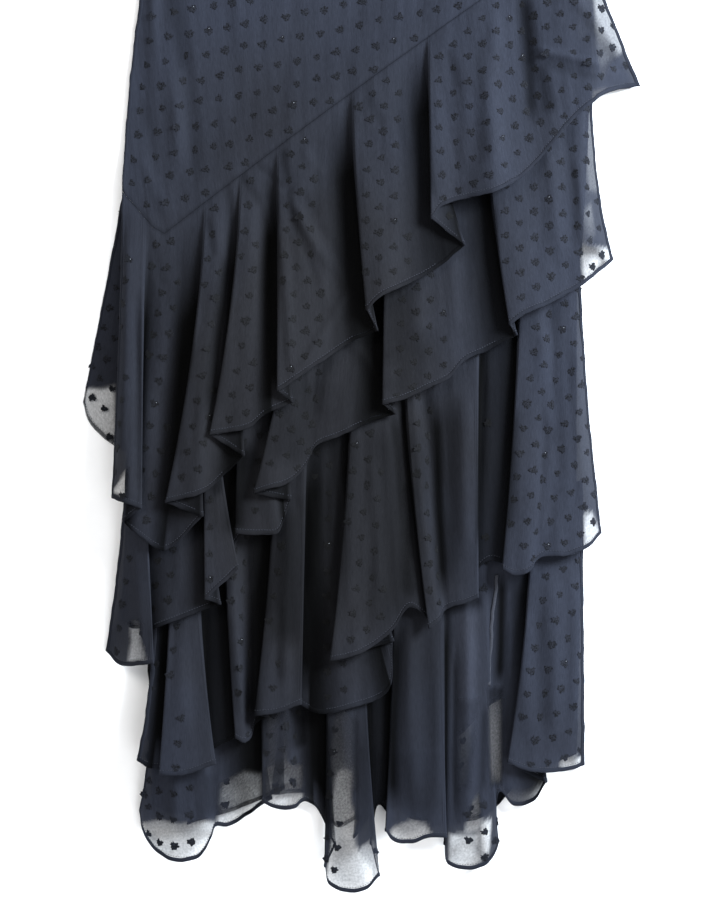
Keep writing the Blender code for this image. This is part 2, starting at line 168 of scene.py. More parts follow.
RUFFLE_1 = [
    Row(121, 112, 498, 0.5), Row(128, 120, 500, 5.0), Row(148, 144, 508, 6.5, 124, 521),
    Row(152, 130, 527, 0.5), Row(164, 142, 536, 0.8), Row(182, 162, 549, 1.0),
    Row(205, 167, 502, 9.0, 205, 516), Row(214, 185, 498, 8.0), Row(224, 207, 491, 5.2),
    Row(231, 226, 474, 0.5), Row(241, 211, 435, 9.5, 246, 456), Row(250, 232, 432, 8.2),
    Row(258, 250, 428, 5.5), Row(266, 266, 415, 1.0), Row(278, 278, 392, 8.5, 294, 403),
    Row(295, 300, 378, 7.0), Row(318, 330, 357, 4.0), Row(336, 357, 340, 0.8),
    Row(353, 366, 312, 9.5, 378, 332), Row(364, 376, 302, 9.0), Row(384, 398, 290, 6.0),
    Row(408, 428, 275, 0.8), Row(429, 430, 221, 10.0, 465, 247), Row(437, 440, 209, 9.0),
    Row(458, 468, 200, 6.5), Row(476, 494, 194, 7.5), Row(496, 518, 181, 3.0), Row(512, 536, 164, 1.0),
    Row(534, 566, 128, 3.5), Row(556, 590, 105, 4.5, sway=1.3), Row(564, 606, 94, 4.0, sway=1.2),
    Row(571, 624, 87, 3.0, sway=1.1), Row(578, 642, 84, 1.5, sway=1.0),
]
RUFFLE_2 = [
    Row(128, 104, 652, 0.5), Row(135, 117, 664, 3.0), Row(150, 156, 661, 6.0, 140, 634),
    Row(164, 160, 626, 0.5), Row(180, 186, 616, 0.8), Row(204, 206, 598, 7.5, 222, 603),
    Row(216, 240, 568, 6.5, 226, 556), Row(238, 236, 533, 6.0, 246, 530), Row(250, 262, 534, 2.6),
    Row(264, 279, 532, 2.2), Row(270, 284, 520, 0.4), Row(290, 254, 493, 9.5, 292, 500),
    Row(298, 271, 488, 9.0), Row(306, 288, 483, 7.0), Row(318, 306, 466, 5.0), Row(330, 315, 447, 4.0),
    Row(348, 338, 437, 3.0), Row(364, 366, 424, 0.8), Row(384, 382, 405, 8.5, 396, 414),
    Row(398, 402, 400, 7.5), Row(416, 427, 389, 5.5), Row(434, 450, 377, 4.5), Row(446, 461, 364, 3.5),
    Row(466, 488, 350, 0.8), Row(487, 508, 326, 9.0, 517, 336), Row(499, 521, 317, 8.5),
    Row(525, 549, 304, 5.5), Row(556, 582, 285, 3.5), Row(584, 604, 268, 2.5, sway=2.6),
    Row(592, 615, 258, 0.5, sway=3.0),
]
RUFFLE_3 = [
    Row(154, 137, 760, 0.5, sway=3.2), Row(161, 149, 766, 0.8, sway=3.0), Row(172, 160, 773, 6.0, 170, 767),
    Row(184, 187, 772, 5.8), Row(200, 217, 762, 6.0, 208, 750), Row(210, 221, 744, 0.5),
    Row(224, 236, 737, 7.0, 243, 733), Row(233, 246, 741, 6.0), Row(238, 250, 738, 0.8),
    Row(256, 256, 722, 0.5), Row(276, 255, 713, 8.0, 268, 716), Row(288, 278, 711, 8.0),
    Row(310, 302, 702, 7.5, 288, 698), Row(320, 322, 712, 0.5), Row(329, 352, 706, 0.8),
    Row(336, 386, 692, 0.5), Row(352, 330, 659, 9.5, 394, 640), Row(364, 350, 655, 9.2),
    Row(376, 372, 645, 8.5), Row(385, 391, 630, 7.0), Row(392, 410, 606, 4.0),
    Row(404, 428, 627, 7.0, 434, 622), Row(412, 440, 618, 6.0), Row(418, 443, 611, 1.0),
    Row(434, 452, 606, 2.0), Row(456, 467, 602, 4.5), Row(482, 478, 597, 6.0, 468, 578),
    Row(496, 490, 560, 0.5), Row(521, 501, 569, 8.0, 512, 566), Row(530, 514, 574, 8.0),
    Row(541, 529, 570, 7.0), Row(549, 536, 559, 4.0), Row(562, 571, 554, 4.5), Row(572, 592, 543, 2.5),
    Row(578, 602, 533, 0.5),
]
RUFFLE_4 = [
    Row(152, 138, 812, 0.5), Row(157, 142, 834, 1.0), Row(162, 152, 851, 1.5), Row(172, 168, 861, 4.0),
    Row(186, 198, 859, 4.5), Row(204, 211, 838, 4.0), Row(211, 215, 828, 0.8), Row(218, 226, 828, 0.5),
    Row(236, 246, 817, 0.6), Row(262, 262, 803, 5.8, 272, 800), Row(272, 280, 810, 5.4),
    Row(284, 296, 808, 4.0), Row(288, 300, 804, 0.8), Row(306, 311, 805, 0.5),
    Row(328, 324, 868, 6.5, 336, 848), Row(334, 329, 886, 7.0), Row(344, 345, 893, 7.5),
    Row(356, 367, 890, 7.0), Row(366, 380, 878, 6.0, 370, 846), Row(378, 380, 806, 0.5),
    Row(394, 385, 832, 6.5, 394, 824), Row(402, 392, 841, 6.5), Row(412, 410, 844, 7.0),
    Row(426, 428, 838, 6.5), Row(446, 447, 838, 6.0, 444, 846), Row(456, 448, 866, 1.5),
    Row(466, 466, 871, 4.0), Row(476, 487, 866, 4.5), Row(484, 498, 850, 4.0), Row(488, 497, 822, 0.8),
    Row(494, 501, 792, 0.5), Row(502, 514, 807, 0.8), Row(512, 532, 804, 0.6),
    Row(532, 507, 763, 7.5, 548, 784), Row(542, 526, 770, 7.5), Row(558, 552, 773, 6.0),
    Row(573, 574, 770, 3.5), Row(583, 586, 767, 0.5),
]
BACK_RUFFLE_1 = [
    Row(121, 81, 402, 0.5, sway=1.05), Row(128, 86, 419, 1.0, sway=1.1), Row(152, 107, 442, 1.5, sway=1.3),
    Row(164, 126, 452, 1.0), Row(196, 166, 470, 6.0, 180, 474), Row(222, 214, 458, 0.8),
    Row(258, 242, 424, 6.0, 256, 429), Row(290, 300, 386, 0.8), Row(330, 318, 352, 6.0, 332, 356),
    Row(366, 378, 318, 0.8), Row(406, 402, 268, 6.0, 416, 273), Row(440, 462, 226, 0.8),
    Row(480, 486, 178, 6.0, 500, 183), Row(530, 548, 132, 1.0), Row(570, 574, 106, 0.8),
    Row(578, 582, 98, 0.5),
]
BACK_RUFFLE_2 = [
    Row(128, 118, 622, 0.5), Row(136, 128, 628, 1.0), Row(176, 160, 620, 6.0, 174, 618),
    Row(214, 216, 590, 0.8), Row(256, 240, 556, 6.0, 254, 552), Row(296, 304, 500, 0.8),
    Row(340, 332, 466, 6.0, 346, 464), Row(380, 392, 426, 0.8), Row(424, 424, 378, 6.0, 438, 374),
    Row(466, 484, 330, 0.8), Row(510, 514, 290, 6.0, 528, 286), Row(584, 576, 256, 0.8),
    Row(592, 583, 250, 0.5),
]
BACK_RUFFLE_3 = [
    Row(154, 146, 742, 0.5), Row(162, 156, 748, 1.0), Row(196, 184, 744, 6.0, 198, 740),
    Row(236, 240, 722, 0.8), Row(276, 262, 702, 6.0, 276, 697), Row(318, 326, 668, 0.8),
    Row(362, 352, 640, 6.0, 366, 635), Row(400, 410, 606, 0.8), Row(444, 440, 586, 6.0, 454, 581),
    Row(486, 500, 556, 0.8), Row(526, 530, 534, 6.0, 544, 532), Row(571, 570, 526, 0.8),
    Row(578, 578, 522, 0.5),
]
BACK_RUFFLE_4 = [
    Row(152, 150, 806, 0.5), Row(160, 160, 812, 1.0), Row(200, 186, 826, 6.0, 200, 820),
    Row(240, 246, 808, 0.8), Row(286, 270, 796, 6.0, 284, 792), Row(312, 314, 798, 0.8),
    Row(330, 338, 830, 0.8), Row(366, 353, 840, 6.5, 368, 812), Row(388, 390, 802, 0.8),
    Row(404, 410, 820, 0.8), Row(444, 432, 828, 6.0, 446, 823), Row(484, 486, 818, 0.8),
    Row(526, 512, 784, 6.0, 526, 776), Row(572, 568, 760, 0.8), Row(583, 578, 756, 0.5),
]
# The underskirt's hem, and the bodice's outer edges above the waist, as points x, y from left to right.
UNDERSKIRT_HEM = [(152, 744), (206, 748), (262, 708), (330, 704), (392, 744), (446, 744), (500, 700),
                  (576, 690)]
FRONT_NECKLINE = [(150, -392), (168, -420), (186, -480), (206, -548), (222, -567), (292, -572), (302, -528),
                  (326, -484), (362, -470), (398, -484), (422, -528), (432, -572), (502, -567), (518, -548),
                  (538, -480), (556, -420), (574, -392)]
SHOULDER_POINTS = (4, 5, 11, 12)  # which of a neckline's points are the corners of its shoulders
BACK_NECKLINE = [(150, -392), (168, -420), (186, -480), (206, -548), (222, -567), (292, -572), (306, -554),
                 (328, -546), (362, -543), (396, -546), (418, -554), (432, -572), (502, -567), (518, -548),
                 (538, -480), (556, -420), (574, -392)]

# Where few layers of chiffon let the floor show through: how clear, over how wide an edge, and the outline
# on the table.
Window = namedtuple("Window", "clear edge outline")
WINDOWS = [
    Window(1.2, 4, [(70, 386), (100, 388), (113, 384), (114, 460), (70, 460)]),
    Window(1.3, 3, [(131, 467), (114, 491), (129, 499)]),
    Window(1.3, 4, [(130, 621), (143, 621), (142, 640), (148, 659), (129, 661), (132, 640)]),
    Window(0.42, 4, [(594, -24), (650, -24), (650, 34), (626, 46), (612, 62), (602, 80), (598, 60),
                     (595, 30)]),
    Window(0.6, 5, [(592, 93), (606, 88), (600, 99), (590, 102)]),
    Window(0.14, 4, [(584, 112), (600, 112), (604, 192), (588, 190)]),
    Window(0.3, 6, [(582, 212), (590, 206), (594, 236), (589, 246), (581, 246)]),
    Window(1.45, 4, [(580, 245), (609, 249), (615, 262), (583, 282)]),
    Window(0.8, 3, [(582, 560), (584, 514), (591, 512), (599, 530), (606, 560)]),
    Window(1.2, 3, [(560, 760), (570, 757), (582, 759), (580, 768), (562, 769)]),
    Window(1.15, 4, [(140, 826), (158, 821), (180, 824), (205, 820), (220, 826), (216, 850), (196, 870),
                     (140, 870)]),
    Window(1.1, 6, [(220, 784), (244, 771), (263, 774), (262, 812), (244, 834), (216, 836)]),
    Window(1.2, 4, [(218, 812), (236, 806), (238, 826), (216, 836)]),
    Window(1.1, 3, [(265, 768), (282, 760), (303, 766), (302, 816), (263, 820)]),
    Window(0.8, 6, [(266, 709), (290, 711), (288, 766), (268, 766)]),
    Window(0.85, 7, [(334, 716), (346, 708), (356, 720), (354, 750), (357, 790), (332, 790), (330, 752)]),
    Window(1.5, 6, [(334, 776), (343, 766), (354, 772), (352, 800), (357, 818), (354, 842), (333, 842),
                    (331, 806)]),
    Window(1.15, 3, [(333, 826), (354, 826), (356, 846), (364, 858), (373, 866), (374, 910), (322, 910),
                     (330, 850)]),
    Window(0.7, 4, [(360, 848), (374, 838), (384, 880), (374, 900)]),
    Window(1.15, 4, [(391, 830), (402, 824), (413, 820), (425, 824), (431, 834), (430, 856), (391, 856)]),
    Window(1.3, 4, [(465, 833), (470, 806), (480, 792), (482, 812), (480, 833)]),
    Window(1.1, 4, [(450, 836), (481, 834), (482, 862), (464, 876), (450, 868)]),
    Window(1.5, 4, [(481, 822), (491, 822), (489, 854), (480, 854)]),
    Window(1.3, 4, [(488, 688), (503, 688), (503, 786), (491, 786)]),
    Window(0.6, 6, [(458, 700), (478, 700), (470, 790), (460, 790)]),
    Window(0.25, 5, [(505, 790), (530, 792), (544, 786), (548, 796), (524, 804), (507, 800)]),
]
# A rolled edge that lies on the bottom flounce, as points on the table.
SLIT = [(499, 575), (494, 618), (492, 649), (490, 686)]
# Parts of the bottom flounce without dots, as outlines on the table.
PLAIN = [
    [(391, 600), (458, 600), (457, 850), (386, 850)],
    [(363, 600), (381, 600), (381, 832), (363, 832)],
    [(471, 600), (489, 600), (489, 800), (468, 800)],
    [(490, 767), (552, 771), (552, 815), (490, 815)],
    [(498, 560), (520, 560), (516, 760), (490, 760)],
]

# Creases laid in on each piece that shows, as rows for Crease.
# Rows with a dark value are painted shade along the crease, some with no height at all; a dark value below
# nothing is painted light.
CREASES = {
    "front_yoke": [
        (150, -150, 152, 150, 2.6, 7), (168, -120, 176, 196, 3.4, 9), (196, -160, 190, 120, 1.8, 12),
        (232, -165, 250, 60, 1.2, 18), (300, -160, 296, 20, 1.2, 24), (420, -160, 470, -40, 1.6, 26),
        (136, 150, 168, 218, 1.8, 6), (340, -100, 410, 20, 1.4, 30), (520, -165, 500, -60, 1.6, 14),
        (182, 20, 196, 190, -1.4, 7, 0.15), (140, 90, 160, 226, -1.2, 5, 0.15),
        (166, -60, 184, 84, -1.4, 8, 0.42), (150, -80, 168, 120, 1.8, 8, -0.08),
    ],
    "ruffle_1_front": [
        (236, 170, 262, 206, -0.9, 4, 0.3), (252, 160, 296, 196, -0.9, 3, 0.3),
        (281, 146, 287, 186, -1.2, 4, 0.45), (286, 186, 298, 226, -1.0, 4, 0.4),
        (300, 150, 326, 176, 0.9, 4, -0.05), (262, 196, 276, 240, 0.9, 4, -0.05),
        (205, 214, 216, 262, -0.8, 4, 0.3), (366, 92, 384, 130, -0.8, 5, 0.25),
        (400, 96, 410, 150, 0.9, 5, -0.05), (446, 44, 458, 96, -0.8, 5, 0.2),
        (570, 2, 618, 62, -0.9, 5, 0.25), (150, 236, 164, 290, -0.9, 5, 0.25),
        (306, 250, 338, 322, 0.9, 5, -0.05), (316, 246, 346, 300, -0.9, 4, 0.3),
        (284, 188, 332, 278, 3.2, 5), (290, 212, 322, 292, -1.2, 4, 0.3), (352, 288, 298, 376, 2.0, 5),
        (300, 190, 352, 282, -0.8, 4, 0.2), (322, 128, 318, 230, -0.8, 9, 0.25), (494, 0, 492, 180, 3.0, 8),
        (460, 40, 466, 180, 1.6, 7), (530, 50, 608, 68, 3.2, 4), (604, 70, 636, 84, 2.0, 6),
        (127, 214, 120, 480, 2.8, 6), (137, 280, 141, 520, -2.2, 4, 0.25), (176, 262, 158, 400, 2.0, 9),
        (218, 270, 200, 440, 1.4, 6), (390, 110, 396, 240, 1.6, 8), (252, 200, 246, 380, 1.2, 7),
        (560, -20, 606, 40, 2.0, 10), (310, 140, 300, 200, 1.2, 9), (523, -20, 533, 134, -2.4, 8, 0.75),
        (536, 60, 548, 120, -1.6, 9, 0.45), (534, 62, 606, 82, -1.0, 6, 0.3),
        (345, 170, 352, 300, -1.8, 8, 0.8), (193, 330, 166, 476, -1.0, 7, 0.7),
        (229, 240, 208, 430, -1.0, 7, 0.75), (276, 180, 272, 390, -1.0, 5, 0.6),
        (232, 180, 236, 224, 1.6, 5), (420, 90, 428, 210, -1.2, 8, 0.5), (283, 230, 292, 380, 1.6, 5),
        (476, 20, 480, 170, -0.8, 6, 0.1),
    ],
    "ruffle_2_front": [
        (318, 372, 288, 470, 0.0, 26, 0.34), (400, 270, 396, 380, 0.0, 20, 0.4),
        (544, 130, 560, 270, 3.0, 9), (575, 150, 588, 262, 2.4, 6), (420, 260, 418, 360, 2.0, 10),
        (340, 340, 322, 420, 2.0, 9), (452, 250, 458, 340, 1.8, 7), (126, 560, 114, 640, 2.0, 6),
        (300, 370, 280, 470, 1.2, 8), (352, 300, 374, 318, -1.6, 6, 0.5),
        (487, 190, 494, 344, -1.4, 8, 0.8), (152, 560, 152, 650, -1.2, 4, 0.3),
        (180, 520, 180, 640, 0.4, 26, -0.62), (330, 318, 384, 380, 1.8, 6),
        (566, 110, 574, 260, -1.0, 5, 0.15), (246, 436, 234, 542, -1.2, 12, 0.9),
        (222, 440, 214, 500, -0.8, 8, 0.5), (424, 320, 398, 404, 0.0, 20, 0.35),
        (378, 340, 372, 410, -0.8, 7, 0.5), (405, 230, 384, 300, -1.4, 10, 0.6),
    ],
    "ruffle_3_front": [
        (544, 323, 548, 440, 3.0, 6), (548, 440, 540, 540, 2.0, 7), (576, 330, 584, 520, 2.4, 7),
        (462, 380, 464, 560, 2.6, 8), (350, 450, 352, 620, 1.8, 8), (372, 450, 380, 600, 1.6, 6),
        (290, 500, 284, 680, 2.0, 7), (334, 470, 336, 640, 1.4, 6), (184, 560, 182, 740, 2.0, 7),
        (204, 610, 212, 740, -0.8, 4, 0.2), (256, 560, 252, 742, -1.0, 8, 0.9),
        (315, 560, 313, 708, -1.0, 12, 0.9), (485, 350, 477, 562, -1.6, 4, 0.85),
        (498, 380, 490, 560, -0.6, 12, 0.55), (282, 600, 280, 690, -1.0, 5, 0.4),
        (404, 460, 410, 616, 0.0, 15, 0.8), (396, 400, 400, 650, 0.0, 32, 0.5),
        (290, 490, 286, 660, 0.0, 20, 0.66), (335, 410, 325, 600, 0.0, 24, 0.6),
        (392, 400, 408, 570, -1.4, 7, 0.75), (346, 430, 330, 640, -0.8, 11, 0.55),
        (268, 470, 262, 640, -0.6, 15, 0.75), (435, 388, 443, 610, -1.2, 7, 0.97),
        (425, 380, 436, 500, -1.0, 5, 0.45), (300, 480, 300, 600, -0.6, 8, 0.45),
        (448, 384, 452, 600, -0.4, 9, 0.5), (514, 400, 506, 540, -0.8, 7, 0.5),
        (360, 430, 330, 600, -0.8, 8, 0.3), (226, 600, 240, 730, -0.6, 6, 0.35),
    ],
    "ruffle_4_front": [
        (424, 580, 422, 850, 0.0, 27, 0.36), (345, 640, 344, 860, 2.0, 7),
        (366, 640, 368, 862, 0.8, 9, 0.45), (410, 600, 412, 820, 3.0, 8), (436, 600, 438, 820, 2.0, 6),
        (468, 620, 468, 840, 2.0, 6), (525, 600, 528, 750, 2.2, 8), (552, 560, 556, 750, 2.6, 8),
        (573, 560, 576, 740, 1.6, 5), (176, 700, 176, 840, 2.0, 7), (236, 700, 240, 810, 1.4, 7),
        (397, 612, 391, 822, -1.8, 8, 0.97), (326, 700, 326, 850, -1.4, 6, 0.9),
        (455, 636, 455, 840, -1.2, 3, 0.55), (503, 566, 499, 694, -1.4, 6, 0.97),
        (440, 606, 484, 600, -1.0, 7, 0.8), (146, 656, 141, 774, -0.6, 7, 0.45),
        (306, 690, 304, 756, -0.8, 13, 0.85), (262, 700, 258, 760, -0.6, 8, 0.7),
        (484, 700, 482, 800, -0.8, 4, 0.45), (508, 600, 502, 756, -0.8, 6, 0.5),
        (422, 640, 424, 800, -0.8, 5, 0.25), (540, 600, 542, 740, -0.8, 6, 0.25),
        (469, 590, 467, 750, 0.8, 8, -0.8), (495, 690, 497, 780, 0.4, 4, -0.4),
        (344, 712, 343, 776, 0.4, 8, -0.4), (278, 706, 277, 766, 0.4, 8, -0.4),
        (356, 700, 357, 840, -0.8, 3, 0.5), (206, 770, 212, 820, -0.6, 8, 0.3),
    ],
    "front_bodice": [
        (210, -400, 236, -240, 2.0, 16), (300, -420, 296, -200, 1.4, 26), (420, -430, 414, -210, 1.6, 26),
        (506, -400, 486, -230, 2.0, 16), (250, -230, 252, -176, 1.0, 7), (330, -222, 332, -176, 0.9, 8),
        (398, -226, 396, -176, 1.0, 7), (468, -222, 466, -176, 0.9, 8),
    ],
}


def sizes():
    """The sizes that the panel shows."""
    return bpy.context.scene.ruffle_dress_sizes


def colours():
    """The colours that the panel shows."""
    return bpy.context.scene.ruffle_dress_colours


# Laying the cloth


def fold_lines(row, rise, edge_x, edge_y, height, middle, side, dark):
    """The lines round one folded edge: into the turn, its outermost line and out of the turn."""
    lines = []
    for degrees in TURN_LINES:
        turn = np.radians(degrees)
        inward = TURN * (1 - np.cos(turn))
        up = rise * TURN * np.sin(turn)
        seam_x = middle + degrees / 90 * TURN
        lines.append(Line(seam_x, edge_x - side * inward, edge_y, height + up, row.sway, dark))
    return lines


def flounce_spans(rows, fullness):
    """A flounce's lines from left to right, in runs: a panel, a folded edge, the next panel and so on."""
    runs, panel = [], []
    for at, row in enumerate(rows):
        lift = row.lift * fullness
        if row.under_x is None:
            after = rows[at + 1] if at + 1 < len(rows) else None
            before = rows[at - 1] if at else None
            low = row.lift <= LOW_LIFT
            deep = low and ((after and after.under_x is not None and after.x < after.under_x)
                            or (before and before.under_x is not None and before.x > before.under_x))
            # Painted shade on a low line down between folds, less of it to the right of RIGHT_FROM
            shade = DEEP_RIGHT if row.seam > RIGHT_FROM else DEEP
            panel.append(Line(row.seam, row.x, row.y, lift, row.sway, shade if deep else 0.0))
            continue
        top, low = lift - TURN, TURN + FOLD_LOW
        first, second = row.seam - FOLD_SHARE * TURN, row.seam
        # A fold's hidden edge gets full painted shade, the edge that shows gets none
        if row.x < row.under_x:
            edges = (fold_lines(row, 1, row.under_x, row.under_y, low, first, 1, 1.0),
                     fold_lines(row, 1, row.x, row.y, top, second, -1, 0.0))
        else:
            edges = (fold_lines(row, -1, row.x, row.y, top, first, 1, 0.0),
                     fold_lines(row, -1, row.under_x, row.under_y, low, second, -1, 1.0))
        runs += [panel + [edges[0][0]], edges[0], [edges[0][-1], edges[1][0]], edges[1]]
        panel = [edges[1][-1]]
    return runs + [panel]


def smooth_run(lines, widest):
    """A run's lines with smooth ones between them, none further apart than widest."""
    table = np.array(lines, dtype=float)
    if len(table) < 2:
        return table
    chord = np.maximum(np.hypot(*np.diff(table[:, 1:3], axis=0).T), np.diff(table[:, 0]))
    at = np.r_[0, np.cumsum(np.maximum(chord, 0.01))]
    slope = np.diff(table, axis=0) / np.diff(at)[:, None]
    tangent = np.empty_like(table)
    tangent[0], tangent[-1] = slope[0], slope[-1]
    if len(table) > 2:
        left, right = np.diff(at)[:-1, None], np.diff(at)[1:, None]
        tangent[1:-1] = (slope[:-1] * right + slope[1:] * left) / (left + right)
    result = [table[:1]]
    for k in range(len(table) - 1):
        length = at[k + 1] - at[k]
        parts = max(1, int(np.ceil(length / widest)))
        t = (np.arange(1, parts + 1) / parts)[:, None]
        result.append((2 * t**3 - 3 * t**2 + 1) * table[k] + (t**3 - 2 * t**2 + t) * length * tangent[k]
                      + (3 * t**2 - 2 * t**3) * table[k + 1] + (t**3 - t**2) * length * tangent[k + 1])
    return np.concatenate(result)


def diagonal_seam(parts):
    """The first seam: a short piece down from the left side, then a long one that bows up to the right."""
    share = np.linspace(0, 1, parts + 1)
    low, high = np.array(SEAM_1_LOW), np.array(SEAM_1_HIGH)
    x = low[0] + (high[0] - low[0]) * share
    y = low[1] + (high[1] - low[1]) * share - 4 * SEAM_1_BOW * share * (1 - share)
    return SEAM_1_SIDE + list(zip(x, y))


def line_y(points, x):
    """Height on the table of a line across the dress at x."""
    xs, ys = zip(*points)
    return np.interp(x, xs, ys)


def spaced(points, shares):
    """Points at the given shares of a line's length."""
    points = np.array(points, dtype=float)
    length = np.r_[0, np.cumsum(np.linalg.norm(np.diff(points, axis=0), axis=1))]
    return [tuple(np.interp(share * length[-1], length, axis) for axis in points.T) for share in shares]


def rounded(points, corners, step):
    """A line through points that is smooth except at its corners, in steps of about the given length."""
    stops = [0] + list(corners) + [len(points) - 1]
    result = []
    for first, last in zip(stops, stops[1:]):
        part = np.array(points[first:last + 1], dtype=float)
        table = np.column_stack([np.zeros(len(part)), part, np.zeros((len(part), 3))])
        fine = smooth_run(table, step)[:, 1:3]
        result += [tuple(point) for point in fine[1 if result else 0:]]
    return result


def flounce_cloth(seam, rows, step, fullness):
    """A flounce, line by line, from its seam to its hem."""
    table, spans, first = [], [], 0
    for run in flounce_spans(rows, fullness):
        fine = smooth_run(run, step)
        if len(table):
            fine = fine[1:]
            first -= 1
        table.append(fine)
        last = first + len(fine) + (1 if first else 0)
        spans.append((first, last))
        first = last
    seam_x, hem_x, hem_y, lift, sway, dark = np.concatenate(table).T[:, :, None]
    seam_y = line_y(seam, seam_x) + SEAM_GAP / 2
    tall = float(np.mean(hem_y - seam_y))
    down = np.linspace(0, 1, int(tall / step) + 2)[None, :]
    x = seam_x + (hem_x - seam_x) * down ** sway
    y = seam_y + (hem_y - seam_y) * down
    z = lift * (1 - (1 - down) ** RISE)
    # Painted shade: it grows down each line from its seam, a hidden layer's tip is lighter where it shows,
    # and the seam row gets the seam's painted shade
    depth = np.clip(dark, 0, 1) * np.clip((down - DARK_FROM) / DARK_OVER, 0, 1)
    tip = (dark > 0.99) * np.clip((down - TIP_FROM) / TIP_OVER, 0, 1)
    depth *= 1 - TIP_LIGHT * tip
    depth[:, 0] = SEAM_SHADE
    return Cloth(np.stack([x, y, z], axis=-1), spans, depth)


def panel_cloth(upper, lower, step):
    """A plain panel: straight lines between the points of its upper and its lower edge."""
    upper, lower = np.array(upper), np.array(lower)
    tall = np.abs(lower - upper)[:, 1].mean()
    down = np.linspace(0, 1, int(tall / step) + 2)[None, :, None]
    flat = upper[:, None, :] * (1 - down) + lower[:, None, :] * down
    points = np.concatenate([flat, np.zeros(flat.shape[:2] + (1,))], axis=-1)
    return Cloth(points, [(0, len(points) - 1)], np.zeros(points.shape[:2]))


def creased(name, x, y):
    """The height of a piece's creases at points on the table, and how much painted shade darkens it and
    painted light lightens it.
    """
    height, dark, light = np.zeros_like(x), np.zeros_like(x), np.zeros_like(x)
    for crease in (Crease(*row) for row in CREASES.get(name, ())):
        start = np.array((crease.x, crease.y), dtype=float)
        along = np.array((crease.to_x, crease.to_y)) - start
        length = np.hypot(*along)
        along /= length
        run = (x - start[0]) * along[0] + (y - start[1]) * along[1]
        off = (x - start[0]) * along[1] - (y - start[1]) * along[0]
        off = off + CREASE_STRAY * crease.width * np.sin(run / CREASE_WAVE + crease.x)
        rise = CREASE_ENDS * length
        ends = np.clip(run / rise, 0, 1) * np.clip((length - run) / rise, 0, 1)
        ends = ends * ends * (3 - 2 * ends)
        near = ends * np.exp(-((off / crease.width) ** 2))
        height += crease.height * near
        dark = np.maximum(dark, crease.dark * near)
        light = np.minimum(light, crease.dark * near)
    return height, dark, light


def rumple_height(x, y, seed, size):
    """Small uneven waves all over a piece, longer down the dress than across it."""
    luck = np.random.default_rng(seed)
    height = np.zeros_like(x)
    for _ in range(RUMPLE_WAVES):
        across = luck.uniform(*RUMPLE_ACROSS)
        along = luck.uniform(*RUMPLE_ALONG)
        phase = luck.uniform(0, 6.28, 3)
        bend = RUMPLE_BEND * np.sin(y / luck.uniform(*RUMPLE_BENDS) + phase[0])
        down = np.sin(y / along * 2 * np.pi + phase[2])
        height += np.sin(x / across * 2 * np.pi + bend + phase[1]) * down
    return size * (height / 3 + 1)


def widest_of(heights, across, along):
    """Each cell's highest neighbour within so many cells across and along."""
    result = heights.copy()
    for axis, reach in ((0, across), (1, along)):
        spread = result.copy()
        for shift in range(1, reach + 1):
            for way in (-shift, shift):
                spread = np.maximum(spread, np.roll(result, way, axis=axis))
        result = spread
    return result


def softened(heights, across, along):
    """Each cell's average with its neighbours within so many cells across and along."""
    result = heights
    for axis, reach in ((0, across), (1, along)):
        total = sum(np.roll(result, way, axis=axis) for way in range(-reach, reach + 1))
        result = total / (2 * reach + 1)
    return result


def cell_of(x, y):
    """The height map's cell under a point on the table."""
    across = np.clip(((x - MAP_LEFT) / CELL).astype(int), 0, MAP_WIDE - 1)
    along = np.clip(((y - MAP_TOP) / CELL).astype(int), 0, MAP_LONG - 1)
    return across, along


def between_cells(heights, x, y):
    """A height map read smoothly between the middles of its cells."""
    across = np.clip((x - MAP_LEFT) / CELL - 0.5, 0, MAP_WIDE - 1.001)
    along = np.clip((y - MAP_TOP) / CELL - 0.5, 0, MAP_LONG - 1.001)
    i, j = across.astype(int), along.astype(int)
    p, q = across - i, along - j
    return ((heights[i, j] * (1 - p) + heights[i + 1, j] * p) * (1 - q)
            + (heights[i, j + 1] * (1 - p) + heights[i + 1, j + 1] * p) * q)


class Pile:
    """The height of everything laid so far, as a map of cells."""

    def __init__(self):
        self.top = np.zeros((MAP_WIDE, MAP_LONG))

    def lay(self, cloths, thick):
        """Lays pieces that are sewn edge to edge on the pile, softly bent over what lies under them."""
        bed = softened(widest_of(self.top, REACH_ACROSS, REACH_ALONG), SOFT_ACROSS, SOFT_ALONG)
        rises = []
        for cloth in cloths:
            points = cloth.points
            points[..., 2] += between_cells(bed, points[..., 0], points[..., 1])
            under = self.top[cell_of(points[..., 0], points[..., 1])]
            gap = np.where(under > 0, LAY_GAP, 0)
            rises.append((under + gap + thick / 2 - points[..., 2]).max())
        for cloth in cloths:
            points = cloth.points
            points[..., 2] += max(rises)
            for across in (0, 1):
                middle = (points[:-1] + points[1:]) / 2 if across else points
                np.maximum.at(self.top, cell_of(middle[..., 0], middle[..., 1]), middle[..., 2] + thick / 2)


